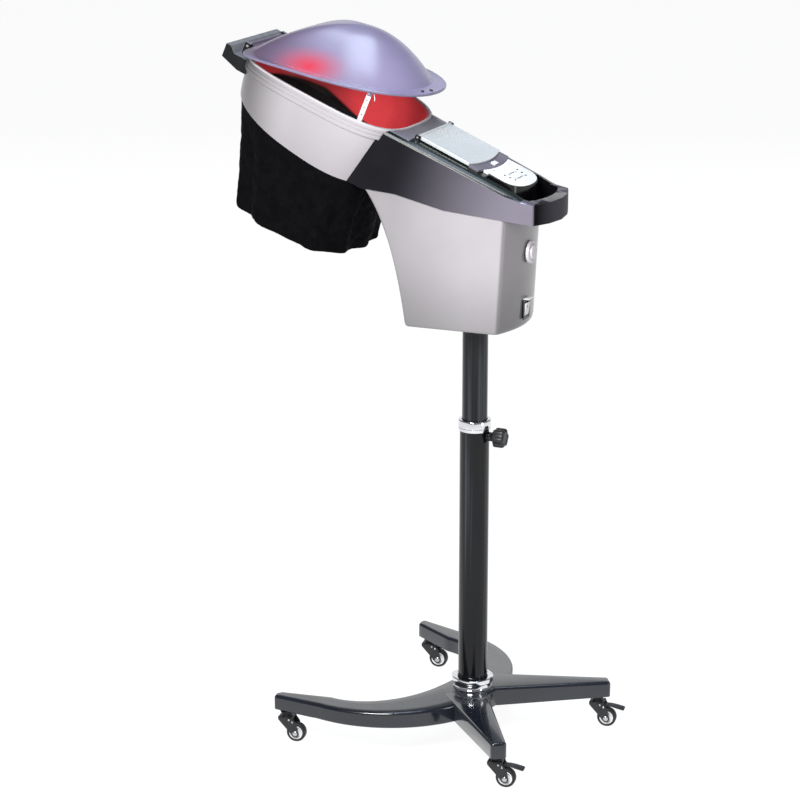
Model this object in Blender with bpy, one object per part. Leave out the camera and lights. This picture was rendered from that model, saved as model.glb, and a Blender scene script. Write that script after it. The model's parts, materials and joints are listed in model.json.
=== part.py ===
"""A hair steamer on a wheeled stand, built from named sizes in metres with Z up.

The mast stands on the Z axis. The hood is on the -X side and the rear grip on the +X side.
Left and right are those of a person who stands behind the machine and faces the hood.
"""

import math

import bmesh
import bpy
from mathutils import Matrix
from mathutils import Vector

# Clearances
SEAT_GAP = 0.0003
RUNNING_GAP = 0.0004
CUT_MARGIN = 0.020
FLATNESS = 0.000001

# How finely round shapes are divided
PIN_SIDES = 12
BARREL_SIDES = 16
EDGE_SEGMENTS = 2
EDGE_ANGLE = math.radians(50)
CREASE = math.radians(32)
CLOTH_CREASE = math.radians(60)

# Casters
CASTER_HEIGHT = 0.064
CASTER_TRAIL = 0.020
CASTER_HEADING = math.radians(21)
WHEEL_RADIUS = 0.0195
WHEEL_WIDTH = 0.016
WHEEL_SIDES = 16
TYRE_THICKNESS = 0.0055
TYRE_SHOULDER = 0.0015
HUB_RADIUS = 0.0065
AXLE_RADIUS = 0.003
AXLE_HEAD_RADIUS = 0.005
AXLE_HEAD_LENGTH = 0.002
FORK_SHEET = 0.002
FORK_INSIDE_WIDTH = 0.023
FORK_CROWN_LENGTH = 0.030
FORK_FOOT_LENGTH = 0.015
FORK_FOOT_BELOW_AXLE = 0.007
FORK_CROWN_CLEARANCE = 0.011
CROWN_THICKNESS = 0.0035
KINGPIN_RADIUS = 0.004
RACE_RADIUS = 0.0105
PLATE_RADIUS = 0.0135
PLATE_THICKNESS = 0.0025
PEDAL_REACH = 0.056
PEDAL_TAIL = 0.004
PEDAL_WIDTH = 0.020
PEDAL_THICKNESS = 0.0025
PEDAL_DROP = 0.006
PEDAL_PIVOT_RADIUS = 0.0020
PEDAL_BELOW_CROWN = 0.0042

# Legs of the stand
STAND_YAW = math.radians(-11.3)
LEG_HEIGHT = 0.038
LEG_FALL = 0.008
LEG_FALL_START = 0.060
LEG_FALL_LENGTH = 0.150
LEG_EDGE = 0.005
CRESCENT_CENTRE_X = -0.202
CRESCENT_OUTER_RADIUS = 0.250
CRESCENT_HUB_WIDTH = 0.102
CRESCENT_SIDE_WIDTH = 0.050
CRESCENT_ARC_STEPS = 22
TIP_X = -0.303
TIP_Y = 0.249
TIP_WIDTH = 0.026
FRONT_CASTER_X = -0.281
FRONT_CASTER_Y = 0.2475
REAR_LEG_ROOT_X = 0.014
REAR_LEG_ROOT_Y = 0.0255
REAR_LEG_END_X = 0.188
REAR_LEG_END_Y = 0.190
REAR_LEG_ROOT_WIDTH = 0.062
REAR_LEG_ROOT_FLARE = 0.026
REAR_LEG_END_WIDTH = 0.032
REAR_LEG_CORNER = 0.007
REAR_LEG_CORNER_STEPS = 3
REAR_CASTER_INSET = 0.008
HUB_BOLT_RADIUS = 0.006
HUB_BOLT_HEAD_RADIUS = 0.011
HUB_BOLT_HEAD_LENGTH = 0.006

# Mast
LOWER_TUBE_RADIUS = 0.029
UPPER_TUBE_RADIUS = 0.025
TUBE_WALL = 0.002
TUBE_SIDES = 24
LOWER_TUBE_TOP = 0.655
UPPER_TUBE_BOTTOM = 0.360
FOOT_THICKNESS = 0.008
BASE_RING_RADIUS = 0.042
BASE_RING_HEIGHT = 0.024
BASE_RING_EDGE = 0.003
CLAMP_RING_RADIUS = 0.032
CLAMP_RING_HEIGHT = 0.0225
CLAMP_RING_LIP = 0.0080
BUSH_LENGTH = 0.055
KNOB_DROP = 0.025
KNOB_RADIUS = 0.018
KNOB_LOBE = 0.0016
KNOB_LOBES = 6
KNOB_LOBE_STEPS = 4
KNOB_LENGTH = 0.024
KNOB_BEVEL = 0.003
CLAMP_SCREW_RADIUS = 0.004
CLAMP_BOSS_RADIUS = 0.009
CLAMP_BOSS_LENGTH = 0.013

# Silver body
BODY_BOTTOM = 0.861
BODY_WALL = 0.003
BODY_HALF_WIDTH = 0.102
BODY_EDGE = 0.008
BODY_FRONT_TOP_X = -0.190
BODY_FRONT_MID_X = -0.132
BODY_FRONT_MID_Z = 1.0485
BODY_FRONT_LOW_X = -0.106
BODY_REAR_LOW_X = 0.083
BODY_REAR_TOP_X = 0.095
BODY_REAR_BULGE = 0.018
BODY_FRONT_STEPS = 8
SEAM = ((-0.192, 1.125), (-0.125, 1.119), (-0.026, 1.095), (0.190, 1.075))
HEAD_FRONT_SPREAD = 1.05
HEAD_REAR_SPREAD = 0.87
SOCKET_LENGTH = 0.084
SOCKET_WALL = 0.0055
SOCKET_FLANGE_RADIUS = 0.052
SOCKET_FLANGE_THICKNESS = 0.005
SOCKET_CAP_THICKNESS = 0.006

# The plane of the hood's mouth and of the deck
HEAD_TILT = math.radians(23)
HOOD_ORIGIN_X = -0.195
HOOD_ORIGIN_Z = 1.2646

# Hood, in the tilted plane: u runs to the rear and w up out of the mouth
HOOD_FRONT = -0.265
HOOD_REAR = 0.075
HOOD_HALF_WIDTH = 0.145
HOOD_FRONT_SQUARENESS = 4.0
HOOD_REAR_SQUARENESS = 3.3
HOOD_DEPTH = 0.128
HOOD_FRONT_RISE = 0.044
HOOD_LOW_FRONT = -0.276
HOOD_LOW_REAR = 0.055
HOOD_TAPER = 0.006
HOOD_LOW_HALF_WIDTH = HOOD_HALF_WIDTH - HOOD_TAPER
HOOD_LOW_FRONT_SQUARENESS = 2.3
HOOD_WALL = 0.003
HOOD_STEPS = 40
HOOD_WALL_LEVELS = (0, 0.35, 0.7, 1)
HOOD_SEAT_DROP = 0.080
RIM_HEIGHT = 0.026
RIM_STEP = 0.004
RIM_GROOVE = 0.0009
RIM_GROOVE_WIDTH = 0.0018
RIM_UPPER_GROOVE = 0.009
RIM_LOWER_GROOVE = 0.017
LINER_TOP = 0.003
LINER_DEPTH = 0.100
LINER_WALL = 0.002
LIGHT_BAR_HALF_WIDTH = 0.045
LIGHT_BAR_TOP = 0.024
LIGHT_BAR_HEIGHT = 0.018
LIGHT_BAR_THICKNESS = 0.006
LIGHT_BAR_STANDOFF = 0.0017

# Front bracket and visor hinge
BRACKET_HALF_WIDTH = 0.105
BRACKET_NOSE_U = -0.308
BRACKET_LIP_W = -0.002
BRACKET_LIP_WIDTH = 0.011
BRACKET_GROOVE_W = -0.013
BRACKET_UNDERSIDE_W = -0.040
BRACKET_NOSE_UNDERSIDE_W = -0.029
VISOR_EAR_Y = 0.071
VISOR_EAR_THICKNESS = 0.008
VISOR_EAR_HALF_LENGTH = 0.0062
VISOR_HINGE_U = -0.2763
VISOR_HINGE_W = 0.004
VISOR_PIN_RADIUS = 0.0025
VISOR_BARREL_RADIUS = 0.0046
VISOR_TAB_HALF_WIDTH = 0.066
VISOR_TAB_LAP = 0.0065

# Visor
VISOR_OPEN = math.radians(11.4)
FLANGE_FRONT = -0.264
FLANGE_REAR = 0.099
FLANGE_OVERHANG = 0.011
FLANGE_HALF_WIDTH = HOOD_HALF_WIDTH + FLANGE_OVERHANG
FLANGE_THICKNESS = 0.004
FLANGE_LIFT = 0.0015
FLANGE_FRONT_SQUARENESS = 8.0
FLANGE_REAR_SQUARENESS = 2.2
DOME_FRONT_INSET = 0.006
DOME_SIDE_INSET = 0.020
DOME_REAR_INSET = 0.028
DOME_FRONT_SQUARENESS = 6.0
DOME_REAR_SQUARENESS = 2.3
DOME_HEIGHT = 0.083
DOME_APEX_U = -0.075
DOME_ROUNDNESS = 1.95
DOME_CROWN = 0.97
DOME_RINGS = (0.10, 0.24, 0.38, 0.52, 0.66, 0.79, 0.90, 1.0)
DOME_INSIDE_RINGS = (0.10, 0.38, 0.62, 0.82, 1.0)
VISOR_WALL = 0.0025

# Folding stay of the visor
STAY_U = 0.006
STAY_SIDE_CLEARANCE = 0.0230
STAY_OUTER_Y = STAY_SIDE_CLEARANCE - HOOD_HALF_WIDTH
STAY_THICKNESS = 0.002
STAY_HALF_WIDTH = 0.0048
STAY_LENGTH = 0.078
STAY_PIVOT_BELOW_FLANGE = 0.0055
STAY_PIN_RADIUS = 0.0018
STAY_LUG_THICKNESS = 0.0025
STAY_LUG_HALF_LENGTH = 0.0045
STAY_LUG_DEPTH = 0.0105
STAY_HOLE_RADIUS = 0.0016
STAY_HOLE_SPACING = 0.015
STAY_HOLES = 4
STAY_END_STEPS = 8
STUD_RADIUS = 0.003
STUD_W = -0.021
STUD_STANDOFF = 0.0016

# Black upper housing
HOUSING_HALF_WIDTH = 0.105
HOUSING_REAR_X = 0.151
HOUSING_REAR_BULGE = 0.024
HOUSING_WALL = 0.004
HOUSING_SIDE_WALL = 0.0035
SHOULDER_WIDTH = 0.020
SHOULDER_DROP = 0.010
SHOULDER_LEVELS = (0.6, 0.88)
DECK_REAR_U = 0.317
DECK_FRONT_U = -0.020
GRIP_KNEE_X = 0.128
GRIP_KNEE_Z = 1.121
GRIP_TOP_Z = 1.118
GRIP_WIDTH = 0.022
GRIP_ROUNDING = 0.33
TROUGH_FRONT_X = 0.049
TROUGH_FLOOR = 0.0045
TROUGH_HALF_WIDTH = 0.084
TROUGH_STEPS = 8

# Tank lid, latch and control pod, in the tilted plane
LID_HINGE_U = 0.1135
LID_HINGE_W = 0.0060
LID_PIN_RADIUS = 0.0020
LID_BARREL_RADIUS = 0.0039
LID_REAR_U = 0.238
LID_HALF_WIDTH = 0.074
LID_REAR_ARCH = 0.012
LID_LOW_W = 0.0030
LID_THICKNESS = 0.0055
LID_EDGE = 0.0012
LID_ARCH_STEPS = 8
LID_EAR_LENGTH = 0.0055
LID_EAR_HALF_WIDTH = 0.005
LID_EAR_TOP_W = 0.0096
BAND_WIDTH = 0.021
BAND_TOP_W = 0.0055
LATCH_HALF_WIDTH = 0.009
LATCH_LENGTH = 0.010
LATCH_LOW_W = 0.0032
LATCH_TOP_W = 0.0080
POD_FRONT_X = 0.0500
POD_STRAIGHT_X = 0.084
POD_REAR_X = 0.116
POD_HALF_WIDTH = 0.064
POD_TOP_W = 0.004
POD_WALL = 0.003
PANEL_INSET = 0.003
PANEL_THICKNESS = 0.0013
POD_ARC_STEPS = 12

# Rear fittings
CAP_Z = 1.008
CAP_RADIUS = 0.022
CAP_THICKNESS = 0.006
CAP_CHAMFER = 0.0017
CAP_GROOVE_WIDTH = 0.001
CAP_GROOVE_DEPTH = 0.0018
CAP_GRIP_RADIUS = 0.014
CAP_GRIP_LENGTH = 0.004
CAP_STEM_RADIUS = 0.010
CAP_STEM_LENGTH = 0.016
CAP_LIFT = 0.0022
SWITCH_Z = 0.896
SWITCH_HALF_WIDTH = 0.0125
SWITCH_HALF_HEIGHT = 0.0165
SWITCH_BEZEL = 0.0030
SWITCH_BEZEL_THICKNESS = 0.002
SWITCH_DEPTH = 0.018
SWITCH_LIFT = 0.0014
SWITCH_RIM = 0.0030
ROCKER_GAP = 0.0008
ROCKER_RISE = 0.0032
GLAND_X = 0.062
GLAND_RADIUS = 0.008
GLAND_BORE_RADIUS = 0.004
GLAND_LENGTH = 0.014
GLAND_NOSE_RADIUS = 0.006
GLAND_NOSE_LENGTH = 0.0056

# Inside the head
TANK_FRONT_U = 0.127
TANK_REAR_U = 0.226
TANK_HALF_WIDTH = 0.060
TANK_DEPTH = 0.066
TANK_WALL = 0.002
TANK_LIP = 0.003
TANK_LIP_THICKNESS = 0.002
BOILER_RADIUS = 0.044
BOILER_HEIGHT = 0.088
BOILER_WALL = 0.002
BOILER_NECK_RADIUS = 0.0155
BOILER_NECK_HEIGHT = 0.008
HEATER_THICKNESS = 0.004
HEATER_HEIGHT = 0.024
HEATER_LIFT = 0.014
DUCT_RADIUS = 0.0135
DUCT_WALL = 0.002
DUCT_W = -0.064
DUCT_END_U = 0.0600
DUCT_RISE = 0.024
DUCT_TURN_U = 0.1047
DUCT_ENTRY_U = 0.0872
DUCT_SIDES = 10
DUCT_PATH_STEPS = 2
DUCT_BENDS = ((-0.042, 1.098), (-0.090, 1.114), (-0.1245, 1.142))
BOARD_X = 0.044
BOARD_HALF_WIDTH = 0.024
BOARD_HEIGHT = 0.075
BOARD_THICKNESS = 0.0016

# Cloth skirt
SKIRT_INSET = 0.0015
SKIRT_THICKNESS = 0.003
SKIRT_HEM_FRONT_X = -0.488
SKIRT_HEM_REAR_X = -0.240
SKIRT_DRAW_IN = 0.017
SKIRT_HEM_HALF_WIDTH = HOOD_HALF_WIDTH - SKIRT_DRAW_IN
SKIRT_HEM_Z = 1.0245
SKIRT_HEM_SLOPE = 0.42
SKIRT_HEM_SQUARENESS = 2.6
SKIRT_REAR_LIFT = 0.012
SKIRT_FOLDS = 11
SKIRT_FOLD_DEPTH = 0.006
SKIRT_STEPS = 55
SKIRT_ROWS = 6

LEG_TOP = CASTER_HEIGHT + LEG_HEIGHT
KNOB_Z = LOWER_TUBE_TOP - KNOB_DROP
MAST_TOP = BODY_BOTTOM + BODY_WALL + SOCKET_LENGTH
BOILER_BOTTOM = MAST_TOP + SEAT_GAP + SOCKET_CAP_THICKNESS + SEAT_GAP
BOILER_TOP = BOILER_BOTTOM + BOILER_HEIGHT


def clear_scene():
    for item in list(bpy.data.objects):
        bpy.data.objects.remove(item, do_unlink=True)


def make_finish(name, colour, roughness, metallic=0.0, alpha=1.0):
    finish = bpy.data.materials.new(name)
    finish.use_nodes = True
    shader = finish.node_tree.nodes["Principled BSDF"]
    shader.inputs["Base Color"].default_value = (*colour, 1.0)
    shader.inputs["Roughness"].default_value = roughness
    shader.inputs["Metallic"].default_value = metallic
    shader.inputs["Alpha"].default_value = alpha
    return finish


def add_empty(name, parent, location=(0, 0, 0), rotation=(0, 0, 0)):
    empty = bpy.data.objects.new(name, None)
    bpy.context.scene.collection.objects.link(empty)
    empty.parent = parent
    empty.location = location
    empty.rotation_euler = rotation
    return empty


def add_mesh(name, mesh, parent):
    solid = bpy.data.objects.new(name, mesh)
    bpy.context.scene.collection.objects.link(solid)
    solid.parent = parent
    return solid


def is_bent(face):
    middle = face.calc_center_median()
    return any(abs((v.co - middle).dot(face.normal)) > FLATNESS for v in face.verts)


def add_solid(name, shape, parent, finish, crease=CREASE):
    """One named object from a closed bmesh, with its faces turned outwards."""
    shape.normal_update()
    bmesh.ops.triangulate(shape, faces=[face for face in shape.faces if is_bent(face)])
    bmesh.ops.recalc_face_normals(shape, faces=shape.faces)
    mesh = bpy.data.meshes.new(name)
    shape.to_mesh(mesh)
    shape.free()
    mesh.shade_smooth()
    mesh.set_sharp_from_angle(angle=crease)
    mesh.materials.append(finish)
    return add_mesh(name, mesh, parent)


def add_helper(name, shape, parent):
    """A hidden solid that a Boolean reads."""
    helper = add_solid(name, shape, parent, None)
    helper.hide_render = True
    helper.display_type = "WIRE"
    return helper


def combine(solid, helper, operation):
    modifier = solid.modifiers.new(helper.name, "BOOLEAN")
    modifier.operation = operation
    modifier.solver = "EXACT"
    modifier.object = helper


def cut(solid, helper):
    combine(solid, helper, "DIFFERENCE")


def join(solid, helper):
    combine(solid, helper, "UNION")


def loft(loops, ring=False):
    """A skin over loops of equal length, closed by end faces or back onto its first loop."""
    shape = bmesh.new()
    rows = [[shape.verts.new(point) for point in loop] for loop in loops]
    pairs = list(zip(rows, rows[1:]))
    if ring:
        pairs.append((rows[-1], rows[0]))
    else:
        shape.faces.new(rows[0])
        shape.faces.new(rows[-1])
    for first, second in pairs:
        count = len(first)
        for k in range(count):
            following = (k + 1) % count
            shape.faces.new((first[k], first[following], second[following], second[k]))
    return shape


def circle(radius, height, sides):
    angles = [2 * math.pi * (k + 0.5) / sides for k in range(sides)]
    return [(radius * math.cos(a), radius * math.sin(a), height) for a in angles]


def turned(profile, sides, ring=True):
    """A solid of revolution round Z from (radius, height) pairs."""
    return loft([circle(radius, height, sides) for radius, height in profile], ring)


def box(x0, x1, y0, y1, z0, z1):
    corners = ((x0, y0), (x1, y0), (x1, y1), (x0, y1))
    return loft([[(x, y, z) for x, y in corners] for z in (z0, z1)])


def prism(outline, low, high):
    return loft([[(x, y, z) for x, y in outline] for z in (low, high)])


def side_prism(outline, y0, y1):
    """A prism along Y from (x, z) pairs."""
    return loft([[(x, y, z) for x, z in outline] for y in (y0, y1)])


def rod(radius, length, sides):
    """A solid round bar along Z, centred on the origin."""
    return turned(((radius, -length / 2), (radius, length / 2)), sides, False)


def placed(shape, location, turn=None):
    matrix = Matrix.Translation(Vector(location))
    if turn is not None:
        matrix = matrix @ turn
    bmesh.ops.transform(shape, matrix=matrix, verts=shape.verts)
    return shape


ALONG_Y = Matrix.Rotation(math.radians(-90), 4, "X")
ALONG_X = Matrix.Rotation(math.radians(90), 4, "Y")


def mix(first, second, share):
    return first + (second - first) * share


def signed_power(value, power):
    return math.copysign(abs(value) ** power, value)


def rounded_outline(front, rear, half_width, front_power, rear_power, count):
    """A closed outline that is squarer at an end with a higher power."""
    centre = (front + rear) / 2
    half = (rear - front) / 2
    points = []
    for k in range(count):
        angle = 2 * math.pi * k / count
        along = math.cos(angle)
        across = math.sin(angle)
        power = 2 / (rear_power if along >= 0 else front_power)
        u = centre + half * signed_power(along, power)
        points.append((u, half_width * signed_power(across, power)))
    return points


def hood_outline(w, inset):
    """The hood's outline at height w below its mouth, drawn in by an inset."""
    share = min(max(-w / HOOD_DEPTH, 0), 1)
    front_power = mix(HOOD_FRONT_SQUARENESS, HOOD_LOW_FRONT_SQUARENESS, share)
    return rounded_outline(
        mix(HOOD_FRONT, HOOD_LOW_FRONT, share) + inset,
        mix(HOOD_REAR, HOOD_LOW_REAR, share) - inset,
        mix(HOOD_HALF_WIDTH, HOOD_LOW_HALF_WIDTH, share) - inset,
        front_power,
        HOOD_REAR_SQUARENESS,
        HOOD_STEPS,
    )


def hood_half_width(u, w, inset):
    """The hood's half width at a point of its rear half."""
    share = -w / HOOD_DEPTH
    front = mix(HOOD_FRONT, HOOD_LOW_FRONT, share) + inset
    rear = mix(HOOD_REAR, HOOD_LOW_REAR, share) - inset
    widest = mix(HOOD_HALF_WIDTH, HOOD_LOW_HALF_WIDTH, share) - inset
    along = (2 * u - front - rear) / (rear - front)
    power = HOOD_REAR_SQUARENESS
    return widest * (1 - along**power) ** (1 / power)


def lifted(u, w):
    """Lifts the wall below the rim, since the hood's lower edge rises to the front."""
    below = max(-RIM_HEIGHT - w, 0) / (HOOD_DEPTH - RIM_HEIGHT)
    forward = max(HOOD_LOW_REAR - u, 0) / (HOOD_LOW_REAR - HOOD_LOW_FRONT)
    return w + HOOD_FRONT_RISE * below * forward**2


def hood_loop(w, inset):
    return [(u, y, lifted(u, w)) for u, y in hood_outline(w, inset)]


def from_tilted(u, w):
    """The head's (x, z) of a point in the tilted plane."""
    x = HOOD_ORIGIN_X + u * math.cos(HEAD_TILT) + w * math.sin(HEAD_TILT)
    z = HOOD_ORIGIN_Z - u * math.sin(HEAD_TILT) + w * math.cos(HEAD_TILT)
    return x, z


def tilted_height(x, w):
    """The height at x of the plane that lies w above the tilted one."""
    u = (x - HOOD_ORIGIN_X - w * math.sin(HEAD_TILT)) / math.cos(HEAD_TILT)
    return from_tilted(u, w)[1]


def seam_height(x):
    for (x0, z0), (x1, z1) in zip(SEAM, SEAM[1:]):
        if x <= x1:
            return mix(z0, z1, (x - x0) / (x1 - x0))
    return SEAM[-1][1]


def spread(x):
    """How much wider or narrower than their nominal width the body and housing are at x."""
    share = (x - SEAM[0][0]) / (HOUSING_REAR_X - SEAM[0][0])
    return mix(HEAD_FRONT_SPREAD, HEAD_REAR_SPREAD, share)


def tapered(loop):
    return [(x, y * spread(x), z) for x, y, z in loop]


def build_finishes():
    return {
        "silver": make_finish("silver_plastic", (0.60, 0.58, 0.60), 0.34, 0.35),
        "black": make_finish("gloss_black_plastic", (0.018, 0.018, 0.022), 0.22),
        "dark": make_finish("charcoal_plastic", (0.035, 0.035, 0.040), 0.45),
        "grey": make_finish("grey_plastic", (0.20, 0.20, 0.22), 0.40),
        "white": make_finish("white_plastic", (0.82, 0.82, 0.82), 0.35),
        "red": make_finish("red_lit_liner", (0.66, 0.05, 0.06), 0.45),
        "visor": make_finish("lavender_visor", (0.42, 0.38, 0.56), 0.08, 0.0, 0.45),
        "chrome": make_finish("chrome", (0.75, 0.75, 0.76), 0.08, 1.0),
        "steel": make_finish("bright_steel", (0.55, 0.55, 0.56), 0.28, 1.0),
        "paint": make_finish("black_painted_steel", (0.028, 0.030, 0.034), 0.30),
        "legs": make_finish("grey_painted_steel", (0.10, 0.11, 0.14), 0.35),
        "rubber": make_finish("black_rubber", (0.015, 0.015, 0.015), 0.65),
        "cloth": make_finish("black_cloth", (0.006, 0.006, 0.009), 0.92),
        "board": make_finish("green_board", (0.02, 0.16, 0.06), 0.50),
    }


def fork_mesh(finish):
    """The swivel fork with its kingpin, about the swivel axis with the floor at zero."""
    crown_low = 2 * WHEEL_RADIUS + FORK_CROWN_CLEARANCE
    crown_high = crown_low + CROWN_THICKNESS
    foot = WHEEL_RADIUS - FORK_FOOT_BELOW_AXLE
    inner = FORK_INSIDE_WIDTH / 2
    outer = inner + FORK_SHEET
    section = (
        (-outer, foot),
        (-outer, crown_high),
        (outer, crown_high),
        (outer, foot),
        (inner, foot),
        (inner, crown_low),
        (-inner, crown_low),
        (-inner, foot),
    )

    def edge(z, side):
        share = max((crown_low - z) / (crown_low - foot), 0)
        middle = mix(0, CASTER_TRAIL, share)
        return middle + side * mix(FORK_CROWN_LENGTH, FORK_FOOT_LENGTH, share) / 2

    loops = [[(edge(z, side), y, z) for y, z in section] for side in (-1, 1)]
    pin_top = CASTER_HEIGHT - SEAT_GAP - PLATE_THICKNESS / 2
    pin_low = crown_high - CROWN_THICKNESS / 2
    pin = rod(KINGPIN_RADIUS, pin_top - pin_low, PIN_SIDES)
    hole = rod(AXLE_RADIUS + SEAT_GAP, 2 * outer + CUT_MARGIN, PIN_SIDES)
    solid = add_solid("fork_pattern", loft(loops), None, finish)
    pin_at = (0, 0, (pin_top + pin_low) / 2)
    kingpin = add_helper("kingpin", placed(pin, pin_at), None)
    axle_at = (CASTER_TRAIL, 0, WHEEL_RADIUS)
    axle_hole = add_helper("axle_hole", placed(hole, axle_at, ALONG_Y), None)
    join(solid, kingpin)
    cut(solid, axle_hole)
    bpy.context.view_layer.update()
    graph = bpy.context.evaluated_depsgraph_get()
    mesh = bpy.data.meshes.new_from_object(solid.evaluated_get(graph))
    mesh.name = "caster_fork"
    for item in (solid, kingpin, axle_hole):
        bpy.data.objects.remove(item, do_unlink=True)
    return mesh


def pedal_shape():
    """A foot pedal about its pivot, which lies along Y."""
    half = PEDAL_THICKNESS / 2
    bend = PEDAL_REACH / 2
    outline = (
        (-PEDAL_TAIL, -half),
        (bend, -half),
        (PEDAL_REACH, -half - PEDAL_DROP),
        (PEDAL_REACH, half - PEDAL_DROP),
        (bend, half),
        (-PEDAL_TAIL, half),
    )
    return side_prism(outline, -PEDAL_WIDTH / 2, PEDAL_WIDTH / 2)


def build_caster(name, x, y, stand, fork, finishes, braked):
    crown_high = 2 * WHEEL_RADIUS + FORK_CROWN_CLEARANCE + CROWN_THICKNESS
    plate_top = CASTER_HEIGHT - SEAT_GAP
    plate_low = plate_top - PLATE_THICKNESS
    race_low = crown_high + RUNNING_GAP
    bore = KINGPIN_RADIUS + RUNNING_GAP
    swivel = add_empty(name + "_swivel", stand, (x, y, 0), (0, 0, CASTER_HEADING))
    race = turned(
        (
            (bore, race_low),
            (RACE_RADIUS, race_low),
            (RACE_RADIUS, plate_low),
            (PLATE_RADIUS, plate_low),
            (PLATE_RADIUS, plate_top),
            (bore, plate_top),
        ),
        BARREL_SIDES,
    )
    add_solid(name + "_caster_race", race, swivel, finishes["steel"])
    add_mesh(name + "_caster_fork", fork, swivel)
    spin = add_empty(name + "_spin", swivel, (CASTER_TRAIL, 0, WHEEL_RADIUS))
    head_from = FORK_INSIDE_WIDTH / 2 + FORK_SHEET + SEAT_GAP
    head_to = head_from + AXLE_HEAD_LENGTH
    axle = turned(
        (
            (AXLE_HEAD_RADIUS, -head_to),
            (AXLE_HEAD_RADIUS, -head_from),
            (AXLE_RADIUS, -head_from),
            (AXLE_RADIUS, head_from),
            (AXLE_HEAD_RADIUS, head_from),
            (AXLE_HEAD_RADIUS, head_to),
        ),
        PIN_SIDES,
        False,
    )
    add_solid(name + "_axle", placed(axle, (0, 0, 0), ALONG_Y), spin, finishes["steel"])
    # The polygon's flats, not its corners, lie at the wheel's radius.
    corner = 1 / math.cos(math.pi / WHEEL_SIDES)
    tyre_inner = (WHEEL_RADIUS - TYRE_THICKNESS) * corner
    core_outer = tyre_inner - SEAT_GAP * corner
    half = WHEEL_WIDTH / 2
    hub_half = FORK_INSIDE_WIDTH / 2 - RUNNING_GAP
    rim_half = half - TYRE_SHOULDER
    core = turned(
        (
            (AXLE_RADIUS + SEAT_GAP, -hub_half),
            (HUB_RADIUS, -hub_half),
            (HUB_RADIUS, -rim_half),
            (core_outer, -rim_half),
            (core_outer, rim_half),
            (HUB_RADIUS, rim_half),
            (HUB_RADIUS, hub_half),
            (AXLE_RADIUS + SEAT_GAP, hub_half),
        ),
        WHEEL_SIDES,
    )
    add_solid(name + "_wheel_core", placed(core, (0, 0, 0), ALONG_Y), spin, finishes["white"])
    tread = WHEEL_RADIUS * corner
    tyre = turned(
        (
            (tyre_inner, -half),
            (tread - TYRE_SHOULDER, -half),
            (tread, TYRE_SHOULDER - half),
            (tread, half - TYRE_SHOULDER),
            (tread - TYRE_SHOULDER, half),
            (tyre_inner, half),
        ),
        WHEEL_SIDES,
    )
    add_solid(name + "_tyre", placed(tyre, (0, 0, 0), ALONG_Y), spin, finishes["rubber"])
    if braked:
        pivot_z = 2 * WHEEL_RADIUS + FORK_CROWN_CLEARANCE - PEDAL_BELOW_CROWN
        pivot = add_empty(name + "_pedal_pivot", swivel, (0, 0, pivot_z))
        pedal = add_solid(name + "_brake_pedal", pedal_shape(), pivot, finishes["dark"])
        trunnion = rod(PEDAL_PIVOT_RADIUS, FORK_INSIDE_WIDTH - 2 * RUNNING_GAP, PIN_SIDES)
        join(pedal, add_helper(name + "_trunnion", placed(trunnion, (0, 0, 0), ALONG_Y), pivot))


def crescent_outline():
    """The plan of the front leg: a horseshoe with its hub at the mast."""
    inner_x = CRESCENT_OUTER_RADIUS - CRESCENT_HUB_WIDTH
    inner_y = CRESCENT_OUTER_RADIUS - CRESCENT_SIDE_WIDTH
    turns = [math.pi * (k / CRESCENT_ARC_STEPS - 0.5) for k in range(CRESCENT_ARC_STEPS + 1)]
    outer = [
        (
            CRESCENT_CENTRE_X + CRESCENT_OUTER_RADIUS * math.cos(a),
            CRESCENT_OUTER_RADIUS * math.sin(a),
        )
        for a in turns
    ]
    inner = [
        (CRESCENT_CENTRE_X + inner_x * math.cos(a), inner_y * math.sin(a))
        for a in reversed(turns)
    ]
    half = TIP_WIDTH / 2
    right_tip = [(TIP_X, TIP_Y + half), (TIP_X, TIP_Y - half)]
    left_tip = [(TIP_X, half - TIP_Y), (TIP_X, -TIP_Y - half)]
    return outer + right_tip + inner + left_tip


def rear_leg_outline(side, outset):
    """The plan of a rear leg: a taper that ends square with two rounded corners."""
    root = Vector((REAR_LEG_ROOT_X, side * REAR_LEG_ROOT_Y))
    end = Vector((REAR_LEG_END_X, side * REAR_LEG_END_Y))
    along = (end - root).normalized()
    across = Vector((-along.y, along.x))
    root = root - along * outset
    half_root = REAR_LEG_ROOT_WIDTH / 2 + outset
    half_end = REAR_LEG_END_WIDTH / 2 + outset
    flare = REAR_LEG_ROOT_FLARE / 2
    points = [root - across * (half_root + flare * (1 - side))]
    radius = REAR_LEG_CORNER + outset
    for corner in (-1, 1):
        middle = end + (along + across * corner) * (half_end - radius)
        for k in range(REAR_LEG_CORNER_STEPS + 1):
            angle = math.pi / 2 * (k / REAR_LEG_CORNER_STEPS + (corner - 1) / 2)
            points.append(middle + (along * math.cos(angle) + across * math.sin(angle)) * radius)
    points.append(root + across * (half_root + flare * (1 + side)))
    return [(point.x, point.y) for point in points]


def leg_top(x, y):
    """The legs are tallest at the hub and fall away towards their ends."""
    beyond = max(math.hypot(x, y) - LEG_FALL_START, 0)
    return LEG_TOP - LEG_FALL * (1 - math.exp(-beyond / LEG_FALL_LENGTH))


def leg_casting(outline):
    low = [(x, y, CASTER_HEIGHT) for x, y in outline]
    return loft([low, [(x, y, leg_top(x, y)) for x, y in outline]])


def round_edges(solid, width):
    bevel = solid.modifiers.new("edge_rounding", "BEVEL")
    bevel.width = width
    bevel.segments = EDGE_SEGMENTS
    bevel.limit_method = "ANGLE"
    bevel.angle_limit = EDGE_ANGLE


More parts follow.
